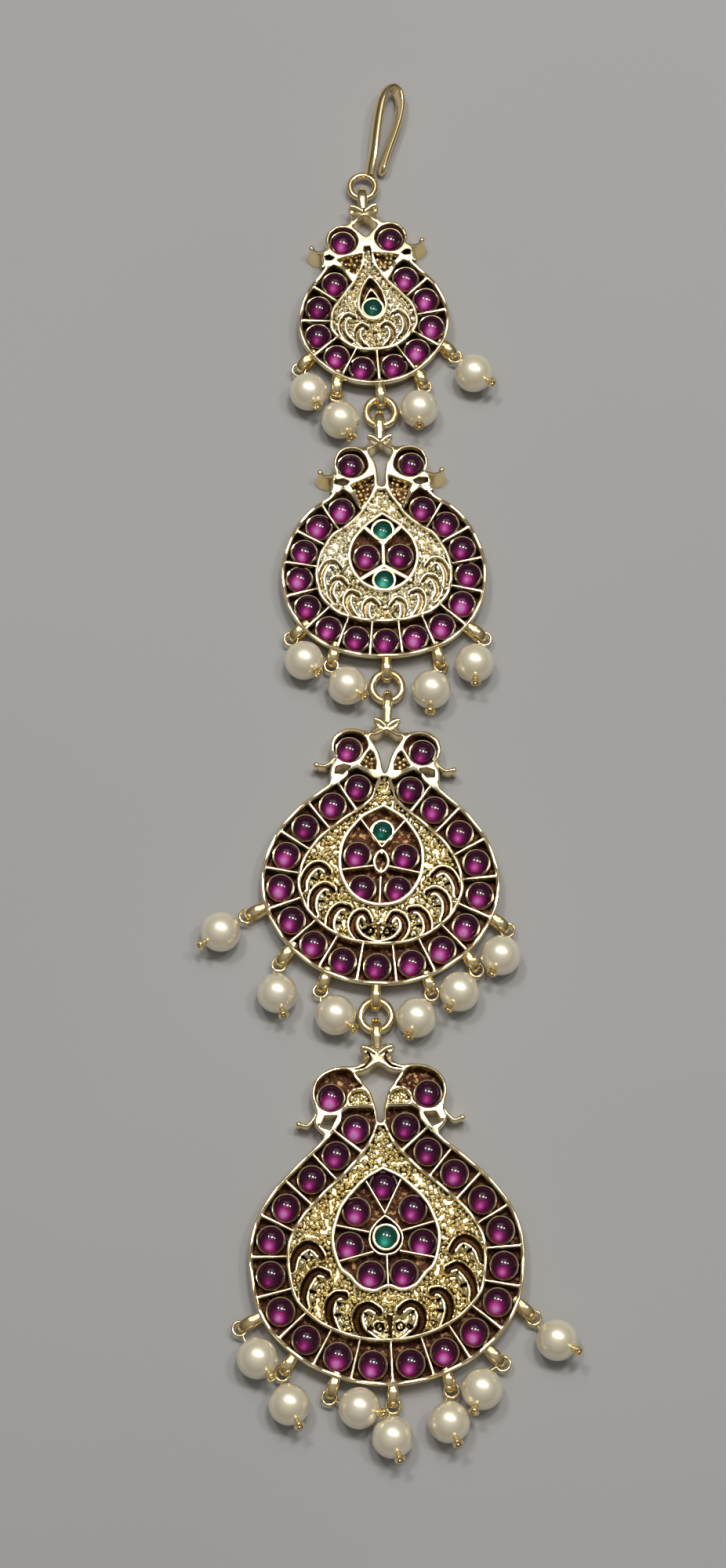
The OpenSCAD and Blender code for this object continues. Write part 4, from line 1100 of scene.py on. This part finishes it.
# ---------------------------------------------------------------- pearls and pins
def make_drop(i):
    d = DROP[i]
    el, az = math.radians(d[8]), math.radians(d[7])
    ax = vec((math.cos(el) * math.cos(az), math.cos(el) * math.sin(az), math.sin(el)))
    c = vec((d[5], d[6], 2.5))
    e = vec((d[1] + (d[4] - 0.25) * math.cos(math.radians(d[3])), d[2] + (d[4] - 0.25) * math.sin(math.radians(d[3])), 1.3))
    mk = Maker()
    prof = []
    a0 = math.asin(0.3 / 2.5)
    n = 32
    for j in range(n + 1):
        a = a0 + (math.pi - 2 * a0) * j / n
        prof.append((2.5 * math.sin(a), -2.5 * math.cos(a)))
    hole = [(0.3, 2.3), (0.3, -2.3)]
    prof = prof + hole + [prof[0]]
    lathe(mk, prof, c, ax, n=56)
    o = mk.object(f"pearl_drop_{i + 1}", [PEARL], PLATE[d[0]], angle=50)
    own(o, "pearl", f"pearl_{i + 1}")
    mk = Maker()
    q = c - ax * 2.64
    v = unit(q - e)
    side = unit(np.cross((0, 0, 1), v))
    nrm = np.cross(v, side)
    torus(mk, e, 0.85, 0.19, nrm, 40, 14)
    lathe(mk, [(0, -0.02), (0.17, 0), (0.17, float(np.linalg.norm(q - e)) - 0.85), (0, float(np.linalg.norm(q - e)) - 0.83)], e + v * 0.85, v, n=14)
    ball(mk, q, 0.23, n=16)
    lathe(mk, [(0, 0), (0.18, 0.01), (0.18, 5.3), (0, 5.31)], q, ax, n=14)
    cup = [(0, 0), (0.34, 0), (0.37, 0.18), (0.42, 0.34), (0.5, 0.5), (0.6, 0.64), (0.68, 0.76), (0.7, 0.84), (0.67, 0.92),
           (0.6, 0.94), (0.5, 0.9), (0.38, 0.84), (0.3, 0.76), (0.26, 0.66), (0.24, 0.6), (0, 0.58)]
    lathe(mk, cup, c + ax * 2.54, ax, n=32)
    o = mk.object(f"pin_{i + 1}", [PING], PLATE[d[0]], angle=50)
    own(o, "pin_gold", f"head_pin_{i + 1}")


for i in range(len(DROP)):
    make_drop(i)


# ---------------------------------------------------------------- rings and hook
for i, (x, y) in enumerate(RING):
    mk = Maker()
    torus(mk, (x, y, RING_Z), 1.9, 0.5, n=72, m=20, mat=3)
    own(mk.object(f"jump_ring_{i + 1}", MATS), "gold", f"link_ring_{i + 1}")

mk = Maker()
path = smooth(HOOK, 8)
tilt = math.radians(32)
prof = []
half = [(0.45, 0.0), (0.45, 0.74), (0.42, 0.86), (0.34, 0.94), (0.2, 0.975), (0.05, 0.955), (-0.12, 0.86), (-0.26, 0.68), (-0.36, 0.46), (-0.42, 0.24), (-0.44, 0.0)]
prof = half[:-1] + [(a, -c) for a, c in half[::-1]][:-1]
nP = len(path)
sweep(mk, path, prof, up=(math.sin(tilt), 0, math.cos(tilt)), mat=3, scale=lambda t: 1.0 if t < 0.94 else max(0.35, math.sqrt(max(0.0, 1 - ((t - 0.94) / 0.06) ** 2 * 0.85))))
torus(mk, (HOOK_RING[0], HOOK_RING[1], 1.35), 1.7, 0.43, n=64, m=18, mat=3)
own(mk.object("hair_hook", MATS), "gold", "hook")


# ---------------------------------------------------------------- floor, light, camera
def plain_floor():
    m, nt, b = tree("floor_paint")
    n1 = noise(nt, 8, 2)
    col = ramp(nt, n1.outputs[0], [(0.3, (0.385, 0.384, 0.384)), (0.7, (0.41, 0.409, 0.41))])
    nt.links.new(col.outputs[0], b.inputs["Base Color"])
    b.inputs["Roughness"].default_value = 0.85
    b.inputs["Specular IOR Level"].default_value = 0.2
    me = bpy.data.meshes.new("floor")
    s = 1.6
    v, f = [], []
    n = 8
    for i in range(n + 1):
        for j in range(n + 1):
            v.append((-s + 2 * s * j / n, -s + 2 * s * i / n, -0.00002))
    for i in range(n):
        for j in range(n):
            a = i * (n + 1) + j
            f.append((a, a + 1, a + n + 2, a + n + 1))
    me.from_pydata(v, [], f)
    me.materials.append(m)
    o = bpy.data.objects.new("floor", me)
    bpy.context.scene.collection.objects.link(o)


def area_light(name, loc, size, power, color, target=(0, 0, 0), size_y=None):
    l = bpy.data.lights.new(name, "AREA")
    l.shape = "RECTANGLE"
    l.size, l.size_y = size, size_y or size
    l.energy = power
    l.color = color
    o = bpy.data.objects.new(name, l)
    o.location = loc
    o.rotation_euler = (Vector(target) - Vector(loc)).to_track_quat("-Z", "Y").to_euler()
    bpy.context.scene.collection.objects.link(o)


plain_floor()
area_light("ceiling", (0.0, 0.22, 0.62), 0.45, 0.72, (1.0, 0.98, 0.95), size_y=0.5)
for i, (x, y, z, size, e) in enumerate(((0.09, 0.17, 0.75, 0.12, 1.75), (-0.2, 0.25, 0.75, 0.1, 1.1), (0.32, 0.1, 0.72, 0.09, 0.8))):
    area_light(f"lamp_{i + 1}", (x, y, z), size, e, (1.0, 0.98, 0.94))

w = bpy.data.worlds.new("studio")
w.use_nodes = True
nt = w.node_tree
bg = nt.nodes["Background"]
tc = node(nt, "ShaderNodeTexCoord")
sep = node(nt, "ShaderNodeSeparateXYZ")
nt.links.new(tc.outputs["Generated"], sep.inputs[0])
sky = ramp(nt, sep.outputs["Z"], [(0.0, (0.10, 0.085, 0.07)), (0.3, (0.10, 0.09, 0.08)), (0.75, (0.22, 0.21, 0.2)), (1.0, (0.42, 0.41, 0.4))])
nt.links.new(sky.outputs[0], bg.inputs[0])
bg.inputs[1].default_value = 0.95
bpy.context.scene.world = w

cam = bpy.data.cameras.new("camera")
cam.sensor_fit = "VERTICAL"
cam.sensor_height = 36
cam.lens = 36 * 4103 / 2000
cam.clip_start = 0.01
cam.clip_end = 20
co = bpy.data.objects.new("camera", cam)
co.location = (SHIFT[0] * MM, (-390 * math.tan(math.radians(17)) + SHIFT[1]) * MM, 0.39)
co.rotation_euler = (math.radians(17), 0, 0)
bpy.context.scene.collection.objects.link(co)
bpy.context.scene.camera = co
bpy.context.scene.view_settings.view_transform = "Standard"
bpy.context.scene.view_settings.look = "None"
